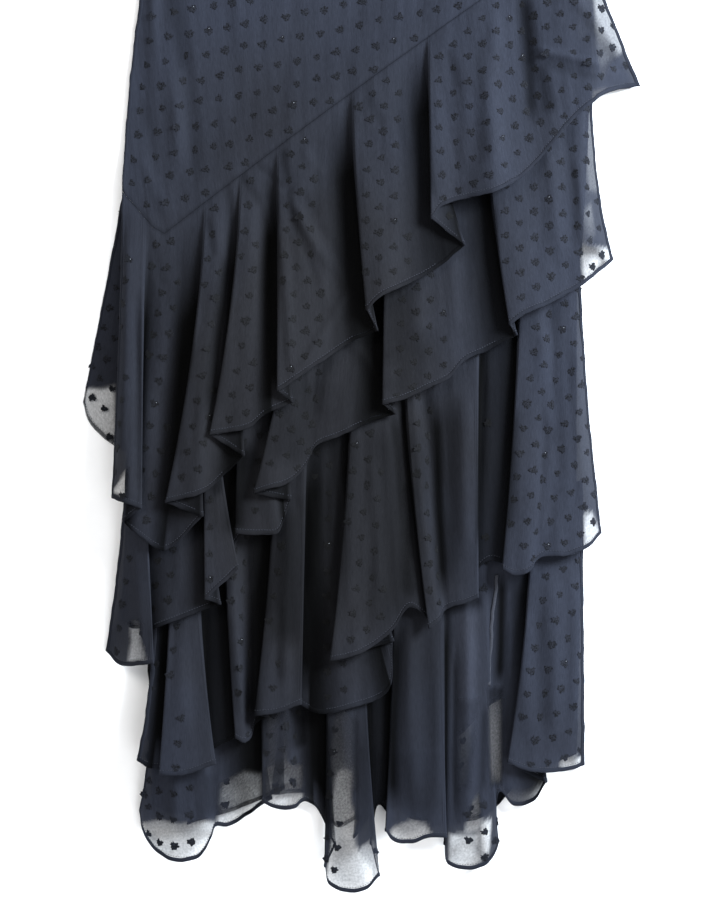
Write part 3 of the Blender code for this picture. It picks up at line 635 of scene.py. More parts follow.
def lay_dress():
    """Lays every piece of cloth in the order in which they lie on each other, once."""
    if LAID:
        return LAID
    step = sizes().cloth_step / MM
    fullness = sizes().fold_fullness
    seam_1 = diagonal_seam(SEAM_1_PARTS)
    fine = np.linspace(0, 1, int(SKIRT_WIDE / step))
    skirt_top = spaced([(x, y + SEAM_GAP / 2) for x, y in seam_1], fine)
    skirt_hem = spaced(rounded(UNDERSKIRT_HEM, (), step), fine)
    corners = [x for x, _ in SEAM_1_SIDE + [SEAM_1_LOW, SEAM_1_HIGH]]
    seam_xs = np.unique(np.concatenate([np.linspace(left, right, int((right - left) / step) + 2)
                                        for left, right in zip(corners, corners[1:])]))
    shares = (seam_xs - seam_xs[0]) / (seam_xs[-1] - seam_xs[0])
    yoke_hem = [(x, line_y(seam_1, x) - SEAM_GAP / 2) for x in seam_xs]
    yoke_top = spaced(WAIST, shares)

    def yoke():
        cloth = panel_cloth(yoke_top, yoke_hem, step)
        down = np.linspace(0, 1, cloth.points.shape[1])[None, :]
        cloth.points[..., 0] -= HIP_CURVE * 4 * down * (1 - down) * (1 - shares[:, None])
        # Painted shade where the yoke turns in at its seam
        cloth.dark[:, -1] = SEAM_SHADE
        return cloth

    def bodice(neckline):
        edge = rounded(neckline, SHOULDER_POINTS, step)
        xs = np.array([x for x, _ in edge])
        waist = [(x, y - SEAM_GAP) for x, y in spaced(WAIST, (xs - xs[0]) / (xs[-1] - xs[0]))]
        return panel_cloth(edge, waist, step)

    def flounce(seam, rows, full=1.0):
        return flounce_cloth(seam, rows, step, full)

    plan = [
        [("back_yoke", yoke()), ("back_bodice", bodice(BACK_NECKLINE)),
         ("ruffle_1_back", flounce(seam_1, BACK_RUFFLE_1))],
        [("ruffle_2_back", flounce(SEAM_2, BACK_RUFFLE_2))],
        [("ruffle_3_back", flounce(SEAM_3, BACK_RUFFLE_3))],
        [("ruffle_4_back", flounce(SEAM_4, BACK_RUFFLE_4))],
        [("back_underskirt", panel_cloth(skirt_top, skirt_hem, step))],
        [("front_underskirt", panel_cloth(skirt_top, skirt_hem, step))],
        [("ruffle_4_front", flounce(SEAM_4, RUFFLE_4, fullness))],
        [("ruffle_3_front", flounce(SEAM_3, RUFFLE_3, fullness))],
        [("ruffle_2_front", flounce(SEAM_2, RUFFLE_2, fullness))],
        [("ruffle_1_front", flounce(seam_1, RUFFLE_1, fullness)), ("front_yoke", yoke()),
         ("front_bodice", bodice(FRONT_NECKLINE))],
    ]
    pile = Pile()
    for seed, sewn in enumerate(plan):
        for name, cloth in sewn:
            x, y = cloth.points[..., 0], cloth.points[..., 1]
            relief, dark, light = creased(name, x, y)
            if name in CREASES:
                relief = relief + rumple_height(x, y, seed, sizes().rumple / MM)
            cloth.points[..., 2] += relief
            # The creases' painted shade darkens the cloth, and their painted light lightens it
            cloth.dark[:] = np.maximum(cloth.dark, dark) + light
        pile.lay([cloth for name, cloth in sewn], sizes().cloth_thick / MM)
        LAID.update(sewn)
    return LAID


# From the table to meshes


def to_model(points):
    """Points on the table in the model's metres."""
    x, y, z = np.moveaxis(points, -1, 0)
    return np.stack([(x - CENTRE_X) * MM, (CENTRE_Y - y) * MM, np.maximum(z, LOWEST) * MM], axis=-1)


def lengths_along(points):
    """The length of the way to each point along the first axis."""
    steps = np.linalg.norm(np.diff(points, axis=0), axis=-1)
    return np.concatenate([np.zeros((1,) + steps.shape[1:]), np.cumsum(steps, axis=0)])


def flat_places(cloth):
    """Each point's place on the flat cloth, in millimetres from the middle of its panel's seam."""
    across = np.zeros(cloth.points.shape[:2])
    for first, last in cloth.spans:
        way = lengths_along(cloth.points[first:last + 1])
        across[first:last + 1] = way - way[len(way) // 2]
    along = lengths_along(np.swapaxes(cloth.points, 0, 1)).T
    return np.stack([across, along], axis=-1)


def depth_inside(outline, x, y):
    """How far points on the table lie inside an outline: less than nothing outside it."""
    corners = np.array(outline, dtype=float)
    inside = np.zeros(np.shape(x), dtype=bool)
    near = np.full(np.shape(x), np.inf)
    for (ax, ay), (bx, by) in zip(corners, np.roll(corners, -1, axis=0)):
        across = bx - ax
        along = by - ay if by != ay else 1e-9
        inside ^= ((ay > y) != (by > y)) & (x < ax + (y - ay) * across / along)
        share = np.clip(((x - ax) * across + (y - ay) * along) / (across**2 + along**2), 0, 1)
        near = np.minimum(near, np.hypot(x - ax - share * across, y - ay - share * along))
    return np.where(inside, near, -near)


def covers(points):
    """How much light each point of a chiffon piece stops: less where few layers lie over the floor."""
    x, y = points[..., 0], points[..., 1]
    clear = np.zeros_like(x)
    for window in WINDOWS:
        inside = np.clip(depth_inside(window.outline, x, y) / window.edge + 0.5, 0, 1)
        clear = np.maximum(clear, window.clear * inside)
    return 1 - clear


def mesh_of(name, work):
    """A mesh of what was modelled, which is then let go."""
    mesh = bpy.data.meshes.new(name)
    work.to_mesh(mesh)
    work.free()
    return mesh


def set_values(mesh, name, values):
    """A named value at each of a mesh's points."""
    layer = mesh.attributes.new(name, "FLOAT", "POINT")
    layer.data.foreach_set("value", values.astype(np.float32).ravel())


def grid_mesh(name, points, flat, **values):
    """A mesh through a grid of points in metres, with its flat cloth map and named values at its points."""
    lines, steps = points.shape[:2]
    work = bmesh.new()
    bmesh.ops.create_grid(work, x_segments=lines - 1, y_segments=steps - 1, size=1.0)
    work.loops.layers.uv.new("cloth")
    mesh = mesh_of(name, work)
    if len(mesh.vertices) != lines * steps:
        raise RuntimeError(f"{name}: the grid has {len(mesh.vertices)} points instead of {lines * steps}")
    places = np.empty(len(mesh.vertices) * 3)
    mesh.vertices.foreach_get("co", places)
    places = places.reshape(-1, 3)
    line = np.rint((places[:, 0] + 1) / 2 * (lines - 1)).astype(int)
    step = np.rint((1 - places[:, 1]) / 2 * (steps - 1)).astype(int)
    mesh.vertices.foreach_set("co", points[line, step].astype(np.float32).ravel())
    corner = np.empty(len(mesh.loops), dtype=np.int32)
    mesh.loops.foreach_get("vertex_index", corner)
    spread = (flat[line, step] * MM)[corner]
    mesh.uv_layers["cloth"].uv.foreach_set("vector", spread.astype(np.float32).ravel())
    for value_name, value in values.items():
        set_values(mesh, value_name, value[line, step])
    mesh.shade_smooth()
    mesh.update()
    return mesh


def show(mesh, finish):
    """A piece of the dress, named as its mesh."""
    piece = bpy.data.objects.new(mesh.name, mesh)
    bpy.context.scene.collection.objects.link(piece)
    mesh.materials.append(finish_of(finish))
    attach(piece, "root")
    return piece


def unit(ways):
    """Ways of length one."""
    return ways / np.maximum(np.linalg.norm(ways, axis=-1, keepdims=True), 1e-6)


def edge_frame(edge, inner):
    """At an edge's points: the way into the cloth, and the way out of the cloth's face."""
    into = unit(inner - edge)
    out = unit(np.cross(into, unit(np.gradient(edge, axis=0))))
    return into, out * np.where(out[..., 2:] < 0, -1, 1)


def band_mesh(name, edge, inner, wide, dark, cover):
    """A flat rolled hem along an edge: a closed tube of oval section."""
    into, out = edge_frame(edge, inner)
    way = lengths_along(edge)[:, None]
    near, far, even = WANDER
    edge = edge + into * UNEVEN * (np.sin(way / near) * np.sin(way / far + 1) + np.sin(way / even + 2))
    turn = np.linspace(0, 2 * np.pi, ROLL_SIDES + 1)[None, :, None]
    inwards = into[:, None] * wide * (0.45 + 0.5 * np.cos(turn))
    upwards = out[:, None] * sizes().hem_thick / 2 * np.sin(turn)
    points = edge[:, None] + inwards + upwards
    points[..., 2] = np.maximum(points[..., 2], FLOOR)
    flat = np.stack(np.broadcast_arrays(lengths_along(edge)[:, None] / MM, turn[..., 0]), axis=-1)
    # The rolled hem takes the painted shade of its cloth's edge
    depth, close = (np.broadcast_to(value[:, None], points.shape[:2]) for value in (dark, cover))
    mesh = grid_mesh(name, points, flat, dark=depth, cover=close)
    work = bmesh.new()
    work.from_mesh(mesh)
    bmesh.ops.remove_doubles(work, verts=work.verts, dist=1e-6)
    rims = [link for link in work.edges if link.is_boundary]
    bmesh.ops.holes_fill(work, edges=rims, sides=0)
    bmesh.ops.recalc_face_normals(work, faces=work.faces)
    work.to_mesh(mesh)
    work.free()
    mesh.shade_smooth()
    return mesh


def joined(name, templates, matrices, dark=None):
    """One mesh of small copies of the templates in turn, one for each matrix, each with its cloth's painted
    shade.
    """
    work = bmesh.new()
    for number, matrix in enumerate(matrices):
        copy = templates[number % len(templates)].copy()
        copy.transform(matrix)
        work.from_mesh(copy)
        bpy.data.meshes.remove(copy)
    for vertex in work.verts:
        vertex.co.z = max(vertex.co.z, FLOOR)
    mesh = mesh_of(name, work)
    if dark is not None:
        set_values(mesh, "dark", np.repeat(dark, len(templates[0].vertices)))
    return mesh


def heart_template(seed):
    """A small heart-shaped tuft one unit wide, frayed at its rim, on both faces of the cloth."""
    luck = np.random.default_rng(seed)
    work = bmesh.new()
    bmesh.ops.create_circle(work, segments=22, radius=0.5, cap_ends=True)
    for vertex in work.verts:
        x, y = vertex.co.x, vertex.co.y
        turn = np.arctan2(x, y)
        notch = 0.27 * np.exp(-((turn / 0.42) ** 2))
        point = 0.16 * np.exp(-(((abs(turn) - np.pi) / 0.6) ** 2))
        fray = luck.uniform(*DOT_FRAY)
        vertex.co.y = (y * 0.92 - notch + 0.06 - point) * fray
        vertex.co.x = x * (1 - 0.25 * max(0.0, -y * 2)) * fray
        vertex.co.z = -DOT_UP
    raised = bmesh.ops.extrude_face_region(work, geom=work.faces[:])["geom"]
    for vertex in [part for part in raised if isinstance(part, bmesh.types.BMVert)]:
        vertex.co.z = DOT_UP
    faces = [face for face in work.faces if len(face.verts) > 4]
    for middle in bmesh.ops.poke(work, faces=faces)["verts"]:
        middle.co.z *= 1.5
    bmesh.ops.recalc_face_normals(work, faces=work.faces)
    return mesh_of("heart", work)


def stitch_template():
    """One stitch, one unit long."""
    work = bmesh.new()
    bmesh.ops.create_icosphere(work, subdivisions=1, radius=0.5)
    bmesh.ops.scale(work, vec=Vector((1.0, 0.34, 0.3)), verts=work.verts)
    mesh = mesh_of("stitch", work)
    mesh.shade_smooth()
    return mesh


def placed(place, along, out, size, spin=0.0):
    """A matrix that lays a template's x along one way and its z out of the cloth."""
    out = Vector(out).normalized()
    x = Vector(along)
    x = (x - out * x.dot(out)).normalized()
    turn = Matrix((x, out.cross(x), out)).transposed().to_4x4()
    return Matrix.Translation(Vector(place)) @ turn @ Matrix.Rotation(spin, 4, "Z") @ Matrix.Scale(size, 4)


def stitch_matrices(edge, inner, dark):
    """Places of the stitches along a rolled hem, where it isn't deep in a fold."""
    pitch = sizes().stitch_pitch
    into, out = edge_frame(edge, inner)
    row = edge + into * (sizes().hem_wide * STITCH_INSET) + out * STITCH_UP
    way = lengths_along(row)
    spots = np.arange(pitch / 2, way[-1], pitch)
    read = [np.stack([np.interp(spots, way, column) for column in table.T], axis=-1)
            for table in (row, np.gradient(row, axis=0), out)]
    lit = np.interp(spots, way, dark) < DOTS_END
    return [placed(spot, along, up, pitch * STITCH_LONG) for spot, along, up, shown in zip(*read, lit)
            if shown and np.linalg.norm(along) > 1e-7]


def between(value, row):
    """Where a value lies in a rising row: the number before it, and the share of the way to the next."""
    at = np.interp(value, row, np.arange(len(row)))
    before = min(int(at), len(row) - 2)
    return before, at - before


class Dots:
    """The dots of one piece: their matrices, and how much painted shade each one takes from its fold."""

    def __init__(self, cloth, facing, seed):
        self.cloth, self.facing = cloth, facing
        self.luck = np.random.default_rng(seed)
        self.places = to_model(cloth.points)
        self.matrices, self.dark = [], []

    def add(self, i, j, p=0.0, share=0.0):
        """Adds a dot between four points of the cloth: so far from point i, j to the next ones."""
        size = sizes().dot_wide * self.luck.uniform(*DOT_WIDTHS)
        spin = self.luck.uniform(-DOT_SPIN, DOT_SPIN)
        places = self.places
        near = places[i, j] * (1 - p) + places[i + 1, j] * p
        far = places[i, j + 1] * (1 - p) + places[i + 1, j + 1] * p
        right = places[i + 1, j] - places[i, j]
        out = np.cross(far - near, right)
        length = np.linalg.norm(out)
        if length < 1e-12:
            return
        spot = near * (1 - share) + far * share
        self.matrices.append(placed(spot, right * self.facing, out / length * self.facing, size, spin))
        self.dark.append(self.cloth.dark[i, j])

    def on_panel(self):
        """Straight slanted rows on the table, for a plain panel."""
        sheet = sizes()
        x, y = self.cloth.points[..., 0], self.cloth.points[..., 1]
        wide, tall = sheet.dot_across / MM * PANEL_SPREAD, sheet.dot_along / MM
        for level in range(int((y.max() - y.min()) / tall) + 8):
            for spot in range(int((x.max() - x.min()) / wide) + 8):
                u = x.min() + (spot - 2 - ROW_SHIFT * (level % 6)) * wide
                u += self.luck.uniform(-DOT_UNEVEN, DOT_UNEVEN)
                stray = self.luck.uniform(-ROW_UNEVEN, ROW_UNEVEN)
                v = y.min() + level * tall - (u - x.min()) * sheet.dot_slant + stray
                off = np.hypot(x - u, y - v)
                i, j = np.unravel_index(np.argmin(off), off.shape)
                if off[i, j] <= ON_CLOTH and 1 < i < len(x) - 2 and 1 < j < x.shape[1] - 2:
                    self.add(i, j)

    def on_flounce(self, plain):
        """A slanted lattice on the flat cloth of each of a flounce's panels, apart from its plain parts."""
        sheet = sizes()
        flat = flat_places(self.cloth)
        wide, tall = sheet.dot_across / MM, sheet.dot_along / MM
        for first, last in self.cloth.spans:
            if last - first < 2:
                continue
            across, along = flat[first:last + 1, :, 0], flat[first:last + 1, :, 1]
            middle = along.mean(axis=0)
            start = self.luck.uniform(0, wide)
            for level in range(int(middle[-1] / tall) + 1):
                v = (level + ROW_START) * tall + self.luck.uniform(-ROW_UNEVEN, ROW_UNEVEN)
                for spot in range(-ROW_REACH, ROW_REACH + 1):
                    u = spot * wide + start - level * wide * ROW_SHIFT
                    down = v - u * sheet.dot_slant
                    if not HEM_CLEAR < down < middle[-1] - HEM_CLEAR:
                        continue
                    j, share = between(down, middle)
                    row = across[:, j] * (1 - share) + across[:, j + 1] * share
                    if not row[0] + FOLD_CLEAR < u < row[-1] - FOLD_CLEAR:
                        continue
                    i, p = between(u, row)
                    x, y = self.cloth.points[first + i, j, :2]
                    hidden = self.cloth.dark[first + i, j] > DOTS_END
                    if not hidden and all(depth_inside(outline, x, y) <= -DOTS_CLEAR for outline in plain):
                        self.add(first + i, j, p, share)


# Finishes


class Finish:
    """A node material with its Principled shader."""

    def __init__(self, name):
        self.material = bpy.data.materials.new(name)
        self.material.use_nodes = True
        self.tree = self.material.node_tree
        self.shader = self.tree.nodes["Principled BSDF"]
        self.place = self.add("TexCoord", "Object")

    def put(self, node, inputs):
        """Sets a node's inputs, to values or to other nodes' outputs."""
        for key, value in inputs.items():
            if isinstance(value, bpy.types.NodeSocket):
                self.tree.links.new(value, node.inputs[key])
            else:
                node.inputs[key].default_value = value

    def add(self, kind, output=0, inputs=None, **settings):
        """A new node's output."""
        node = self.tree.nodes.new(f"ShaderNode{kind}")
        for key, value in settings.items():
            setattr(node, key, value)
        self.put(node, inputs or {})
        return node.outputs[output]

    def noise(self, place, scale, detail, roughness):
        """An uneven pattern."""
        inputs = {"Vector": place, "Scale": scale, "Detail": detail, "Roughness": roughness}
        return self.add("TexNoise", "Fac", inputs)

    def scaled(self, place, scale, shift=(0.0, 0.0, 0.0)):
        """A pattern's coordinates, scaled and shifted."""
        return self.add("Mapping", "Vector", {"Vector": place, "Scale": scale, "Location": shift})

    def ranged(self, value, low, high, least=0.0, most=1.0):
        """A value brought from the range between least and most to the one between low and high."""
        inputs = {"Value": value, "From Min": least, "From Max": most, "To Min": low, "To Max": high}
        return self.add("MapRange", "Result", inputs)

    def times_plus(self, value, factor, plus, clamp=False):
        """A value times a factor, plus another value."""
        return self.add("Math", 0, {0: value, 1: factor, 2: plus}, operation="MULTIPLY_ADD",
                        use_clamp=clamp)

    def mixed(self, share, first, second):
        """A colour between two."""
        return self.add("Mix", 2, {0: share, 6: (*first, 1.0), 7: (*second, 1.0)}, data_type="RGBA")

    def bump(self, height, strength, distance, under=None):
        """A bumpy normal, on top of another one if there is one."""
        inputs = {"Height": height, "Strength": strength, "Distance": distance}
        if under is not None:
            inputs["Normal"] = under
        return self.add("Bump", "Normal", inputs)

    def cloth_tint(self):
        """The cloth's colour: uneven in random patches, and with painted shade that makes it darker and
        greyer around the middle of the skirt.
        """
        patches = self.noise(self.place, 9.0, 3.0, 0.55)
        spot = self.scaled(self.place, (1 / SHADED_WIDE, 1 / SHADED_LONG, 0.0),
                           (-SHADED_MIDDLE_X / SHADED_WIDE, -SHADED_MIDDLE_Y / SHADED_LONG, 0.0))
        # Painted shade: darker and greyer around the middle of the skirt
        middle = self.add("TexGradient", "Fac", {"Vector": spot}, gradient_type="SPHERICAL")
        grey_and_shade = self.times_plus(middle, 1.6, self.times_plus(patches, 0.9, -0.4), clamp=True)
        return self.mixed(grey_and_shade, colours().cloth, colours().cloth_warm)

    def with_painted_shade(self, tint, pattern, shade):
        """A tint times a pattern, with painted shade that darkens it deep in the folds."""
        # The dark value is painted shade: 0 where the cloth is lit, 1 where no light comes
        depth = self.add("Attribute", "Fac", attribute_name="dark")
        left = self.times_plus(depth, -DEEPEST * shade, shade)
        bright = self.add("Math", 0, {0: left, 1: pattern}, operation="MULTIPLY")
        return self.add("VectorMath", "Vector", {0: tint, "Scale": bright}, operation="SCALE")


def chiffon_material(name, sheer, shade):
    """Crepe chiffon: fine uneven weave and soft sheen, painted shade deep in the folds, clear where it lies
    alone.
    """
    finish = Finish(name)
    flat = finish.add("UVMap", "UV", uv_map="cloth")
    slub = finish.noise(finish.scaled(flat, SLUBS), 1.0, 3.0, 0.6)
    grain = finish.noise(finish.scaled(flat, (WEAVE, WEAVE, 1.0)), 1.0, 2.0, 0.7)
    streaks = finish.noise(finish.scaled(flat, STREAKS), 1.0, 2.0, 0.5)
    bands = [finish.add("TexWave", "Fac", {"Vector": flat, "Scale": WEAVE, "Distortion": 1.2},
                        wave_type="BANDS", bands_direction=way) for way in ("X", "Y")]
    threads = finish.add("Math", 0, dict(enumerate(bands)), operation="MAXIMUM")
    cover = finish.add("Attribute", "Fac", attribute_name="cover")
    open_weave = finish.ranged(grain, sheer - 0.12, sheer + 0.12, 0.3, 0.7)
    drape = finish.bump(streaks, 0.6, 0.0022)
    close = {0: cover, 2: open_weave, 3: CLOSED}
    finish.put(finish.shader, {
        "Base Color": finish.with_painted_shade(finish.cloth_tint(), finish.ranged(slub, 0.8, 1.2, 0.25, 0.75), shade),
        "Roughness": finish.ranged(grain, 0.62, 0.86),
        "Alpha": finish.add("Mix", 0, close, data_type="FLOAT", clamp_factor=False),
        "Normal": finish.bump(finish.times_plus(threads, 0.35, slub), 0.5, 0.0003, drape),
        "Sheen Weight": 0.014,
        "Sheen Roughness": 0.45,
        "Sheen Tint": (0.62, 0.7, 0.9, 1.0),
        "Specular IOR Level": 0.035,
    })
    return finish.material


def fibre_finish(name, scale, roughness, depth):
    """A finish of fine fibres, without its colour yet, and the pattern of the fibres."""
    finish = Finish(name)
    fibres = finish.noise(finish.place, scale, 3.0, 0.65)
    finish.put(finish.shader, {
        "Roughness": finish.ranged(fibres, *roughness),
        "Normal": finish.bump(fibres, 0.6, depth),
        "Specular IOR Level": 0.1,
    })
    return finish, fibres


def plain_material(name, colour, scale, roughness, spread=0.25):
    """Close cloth or thread: one colour broken up by fine fibres."""
    finish, fibres = fibre_finish(name, scale, (roughness - 0.12, roughness + 0.12), 0.0001)
    darker, lighter = ([part * way for part in colour] for way in (1 - spread, 1 + spread))
    mottled = finish.mixed(finish.ranged(fibres, 0.0, 1.0, *FIBRES), darker, lighter)
    finish.put(finish.shader, {"Base Color": mottled})
    return finish.material


def dot_material(name):
    """Clipped tufts: the cloth's own colour with its painted shade, darker and mottled."""
    finish, fibres = fibre_finish(name, 760.0, (0.7, 0.95), 0.0005)
    mottled = finish.ranged(fibres, sizes().dot_shade * 0.1, sizes().dot_shade * 1.9, *FIBRES)
    finish.put(finish.shader, {"Base Color": finish.with_painted_shade(finish.cloth_tint(), mottled, 1.0)})
    return finish.material


def finish_of(kind):
    """The material of that kind, made when it is first asked for."""
    name = f"dress_{kind}"
    if name in bpy.data.materials:
        return bpy.data.materials[name]
    if kind in PLAIN_FINISHES:
        return plain_material(name, getattr(colours(), kind), *PLAIN_FINISHES[kind])
    if kind == "dot":
        return dot_material(name)
    return chiffon_material(name, sizes().single_layer, sizes().hem_shade if kind == "hem" else 1.0)


# Pieces


def slit_mesh(name, cloth):
    """The rolled edge of the slit that lies on the bottom flounce."""
    line = np.array(rounded(SLIT, (), 3.0))
    places = cloth.points[..., :2]
    near = [np.unravel_index(np.argmin(np.hypot(*(places - spot).T).T), places.shape[:2]) for spot in line]
    height = np.array([cloth.points[i, j, 2] for i, j in near])
    edge = to_model(np.column_stack([line, height + SLIT_UP]))
    lit, close = np.zeros(len(line)), np.ones(len(line))
    return band_mesh(name, edge, edge - (0.001, 0, 0), sizes().hem_wide * SLIT_WIDE, lit, close)


def make_piece(name, kind, hemmed, seed=0):
    """One piece of cloth with its hems, stitches and dots, in place of its solid."""
    cloth = lay_dress()[name]
    points = to_model(cloth.points)
    cover = covers(cloth.points) if kind == "chiffon" else np.ones(points.shape[:2])
    # The cloth's dark value goes onto its mesh as painted shade for its finish
    mesh = grid_mesh(f"{name}_cloth", points, flat_places(cloth), dark=cloth.dark, cover=cover)
    piece = show(mesh, kind)
    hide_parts(name)
    # Only the back flounces' hems are as clear as their cloth
    rolled = cover if name.endswith("_back") else np.ones_like(cover)
    places = {"hem": ((slice(None), -1), (slice(None), -2)), "top": ((slice(None), 0), (slice(None), 1)),
              "left": (0, 1), "right": (-1, -2)}
    parts, stitches = [], []
    for side in hemmed:
        at, inside = places[side]
        edge, inner, dark = points[at], points[inside], cloth.dark[at]
        mesh = band_mesh(f"{name}_{side}_roll", edge, inner, sizes().hem_wide, dark, rolled[at])
        parts.append(show(mesh, "hem" if kind == "chiffon" else kind))
        if side in ("hem", "top"):
            stitches += stitch_matrices(edge, inner, dark)
    if name == "ruffle_4_front":
        parts.append(show(slit_mesh(f"{name}_slit_roll", cloth), "thread"))
    if stitches:
        parts.append(show(joined(f"{name}_stitches", [stitch_template()], stitches), "thread"))
    if kind == "chiffon":
        dots = Dots(cloth, -1 if "back" in name else 1, seed)
        if len(cloth.spans) == 1:
            dots.on_panel()
        else:
            dots.on_flounce(PLAIN if name == "ruffle_4_front" else [])
        hearts = [heart_template(shape) for shape in range(DOT_SHAPES)]
        parts.append(show(joined(f"{name}_dots", hearts, dots.matrices, dots.dark), "dot"))
        # Painted glints: light-coloured thread ends on a few dots, in place of highlights
        end = Matrix.Translation(GLINT_PLACE) @ Matrix.Scale(GLINT_LONG, 4)
        ends = [matrix @ end for matrix in dots.matrices[::GLINT_EACH]]
        parts.append(show(joined(f"{name}_glints", [stitch_template()], ends), "glint"))
    return piece


def amount(label, about, default, **limits):
    """A plain number on the panel."""
    return FloatProperty(name=label, description=about, default=default, **limits)


def distance(label, about, default, **limits):
    """A length in metres on the panel."""
    return amount(label, about, default, unit="LENGTH", **limits)


def paint(label, about, default):
    """A colour on the panel."""
    return FloatVectorProperty(name=label, description=about, subtype="COLOR", default=default)


class DressSizes(bpy.types.PropertyGroup):
    cloth_step: distance("Cloth step", "Size of the cloth's mesh faces", 0.0034, min=0.002, max=0.02)
    cloth_thick: distance("Cloth thickness", "Room that a layer takes in the pile", 0.0012)
    fold_fullness: amount("Fold fullness", "How far the front folds stand up", 1.3)
    rumple: distance("Rumple", "Depth of the small waves in the cloth", 0.0005)
    hem_wide: distance("Hem width", "Width of the rolled hems", 0.0043)
    hem_thick: distance("Hem thickness", "Thickness of the rolled hems", 0.0009)
    hem_shade: amount("Hem shade", "Brightness of the rolled hems beside the cloth", 0.8)
    stitch_pitch: distance("Stitch pitch", "Length from stitch to stitch", 0.0027)
    dot_wide: distance("Dot width", "Width of one heart-shaped dot", 0.0088)
    dot_across: distance("Dot spacing across", "From dot to dot along a row", 0.0174)
    dot_along: distance("Dot spacing along", "From row to row", 0.0236)
    dot_slant: amount("Dot slant", "How steeply the rows rise to the right", 0.18)
    dot_shade: amount("Dot shade", "Brightness of the dots beside the cloth", 0.4)
    single_layer: amount("Single layer", "Share of light that one layer stops", 0.5, min=0.0, max=1.0)


class DressColours(bpy.types.PropertyGroup):
    cloth: paint("Cloth", "Lit chiffon", (0.0167, 0.0191, 0.0276))
    # Painted shade: this darker, greyer colour of the cloth around the middle of the skirt, and in its
    # random greyer patches
    cloth_warm: paint("Cloth, warm", "Chiffon in its greyer patches", (0.0108, 0.0110, 0.0130))
    thread: paint("Thread", "Hem stitches", (0.026, 0.028, 0.036))
    # Painted highlight: the light colour of the glints' thread ends
    glint: paint("Glint", "Shining thread ends on a few dots", (0.3, 0.32, 0.35))
    lining: paint("Lining", "Opaque underskirt", (0.002, 0.002, 0.003))
    floor: paint("Floor", "Pale floor", (0.94, 0.94, 0.94))


class DRESS_OT_underskirts(bpy.types.Operator):
    """Make the front and back underskirt"""
    bl_idname = "dress.underskirts"
    bl_label = "Underskirts"

    def execute(self, context):
        make_piece("back_underskirt", "lining", SKIRT_EDGES)
        make_piece("front_underskirt", "lining", SKIRT_EDGES)
        return {"FINISHED"}


class DRESS_OT_back_flounces(bpy.types.Operator):
    """Make the four flounces of the back, which the dress lies on"""
    bl_idname = "dress.back_flounces"
    bl_label = "Back flounces"

    def execute(self, context):
        for tier in (1, 2, 3, 4):
            piece = make_piece(f"ruffle_{tier}_back", "chiffon", SKIRT_EDGES, 20 + tier)
        return {"FINISHED"}


class DRESS_OT_front_flounces(bpy.types.Operator):
    """Make the four flounces of the front, from the bottom tier up"""
    bl_idname = "dress.front_flounces"
    bl_label = "Front flounces"

    def execute(self, context):
        for tier in (4, 3, 2, 1):
            piece = make_piece(f"ruffle_{tier}_front", "chiffon", SKIRT_EDGES, 40 + tier)
        return {"FINISHED"}


class DRESS_OT_yokes(bpy.types.Operator):
    """Make the smooth panels from the waist to the diagonal seam"""
    bl_idname = "dress.yokes"
    bl_label = "Yokes"

    def execute(self, context):
        make_piece("back_yoke", "chiffon", ("left", "right"), 61)
        make_piece("front_yoke", "chiffon", ("left", "right"), 62)
        return {"FINISHED"}


class DRESS_OT_bodices(bpy.types.Operator):
    """Make the sleeveless front and back above the waist"""
    bl_idname = "dress.bodices"
    bl_label = "Bodices"

    def execute(self, context):
        make_piece("back_bodice", "chiffon", ("top", "left", "right"), 71)
        make_piece("front_bodice", "chiffon", ("top", "left", "right"), 72)
        return {"FINISHED"}


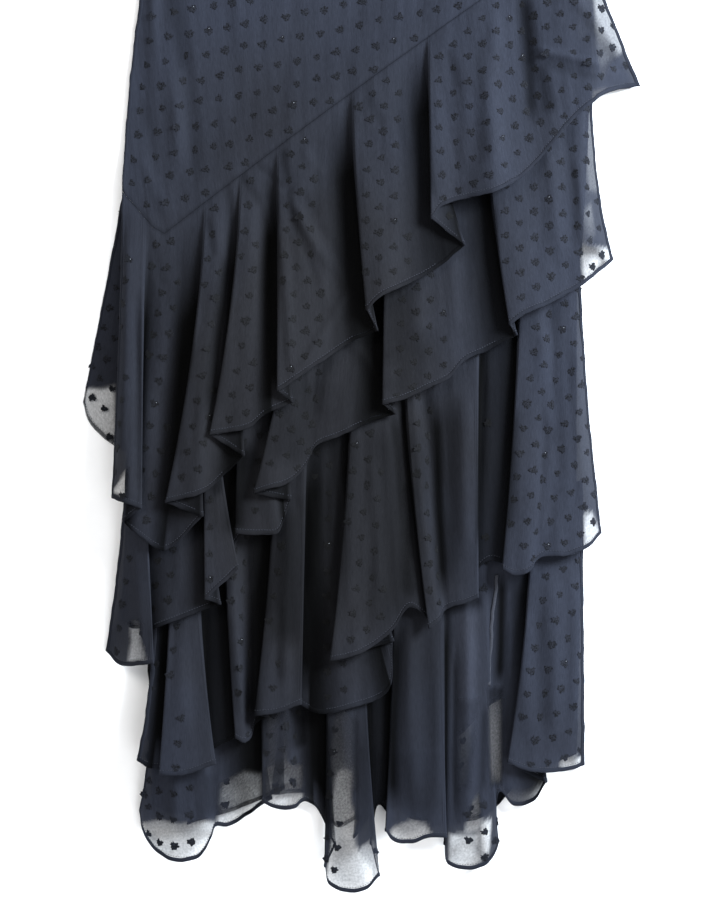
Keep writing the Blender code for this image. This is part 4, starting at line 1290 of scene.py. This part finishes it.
class DRESS_OT_stage(bpy.types.Operator):
    """Make the pale floor, the soft lights and the camera over the skirt"""
    bl_idname = "dress.stage"
    bl_label = "Stage"

    def add(self, name, data):
        """An object of the stage."""
        thing = bpy.data.objects.new(name, data)
        bpy.context.scene.collection.objects.link(thing)
        return thing

    def execute(self, context):
        work = bmesh.new()
        bmesh.ops.create_grid(work, x_segments=1, y_segments=1, size=FLOOR_REACH)
        floor = self.add("floor", mesh_of("floor", work))
        floor.data.materials.append(plain_material("floor", colours().floor, 30.0, 0.8, 0.01))

        for name, (place, size, watts, tone) in LIGHTS.items():
            lamp = bpy.data.lights.new(name, "AREA")
            lamp.shape = "SQUARE"
            lamp.size = size
            lamp.energy = watts
            lamp.color = tone
            holder = self.add(name, lamp)
            holder.location = place
            holder.rotation_euler = (LIGHTS_AIM - holder.location).to_track_quat("-Z", "Y").to_euler()

        world = bpy.data.worlds.new("studio")
        world.use_nodes = True
        sky = world.node_tree.nodes["Background"]
        sky.inputs["Color"].default_value = SKY
        sky.inputs["Strength"].default_value = SKY_LIGHT
        context.scene.world = world

        eye = bpy.data.cameras.new("camera")
        eye.lens = LENS
        eye.sensor_fit = "VERTICAL"
        eye.sensor_height = SENSOR
        eye.clip_end = 50.0
        camera = self.add("camera", eye)
        x, y = VIEW_CENTRE
        far = VIEW_LONG * eye.lens / eye.sensor_height
        camera.location = ((x - CENTRE_X) * MM, (CENTRE_Y - y) * MM, far + CAMERA_UP)
        context.scene.camera = camera
        context.scene.view_settings.view_transform = "Standard"
        return {"FINISHED"}


class DRESS_PT_panel(bpy.types.Panel):
    """The dress's sizes, colours and pieces"""
    bl_idname = "DRESS_PT_panel"
    bl_label = "Ruffle dress"
    bl_space_type = "VIEW_3D"
    bl_region_type = "UI"
    bl_category = "Ruffle dress"

    def draw(self, context):
        for group in (context.scene.ruffle_dress_sizes, context.scene.ruffle_dress_colours):
            box = self.layout.box()
            for name in group.__annotations__:
                box.prop(group, name)
        for operator in OPERATORS:
            self.layout.operator(operator.bl_idname)


GROUPS = (DressSizes, DressColours)
OPERATORS = (DRESS_OT_back_flounces, DRESS_OT_underskirts, DRESS_OT_front_flounces, DRESS_OT_yokes,
             DRESS_OT_bodices, DRESS_OT_stage)
CLASSES = GROUPS + OPERATORS + (DRESS_PT_panel,)


def register():
    for each in CLASSES:
        bpy.utils.register_class(each)
    bpy.types.Scene.ruffle_dress_sizes = PointerProperty(type=DressSizes)
    bpy.types.Scene.ruffle_dress_colours = PointerProperty(type=DressColours)


def unregister():
    del bpy.types.Scene.ruffle_dress_colours
    del bpy.types.Scene.ruffle_dress_sizes
    for each in reversed(CLASSES):
        bpy.utils.unregister_class(each)


def main():
    """Makes the whole dress and its stage."""
    register()
    bpy.ops.dress.back_flounces()
    bpy.ops.dress.underskirts()
    bpy.ops.dress.front_flounces()
    bpy.ops.dress.yokes()
    bpy.ops.dress.bodices()
    bpy.ops.dress.stage()


if __name__ == "__main__":
    main()
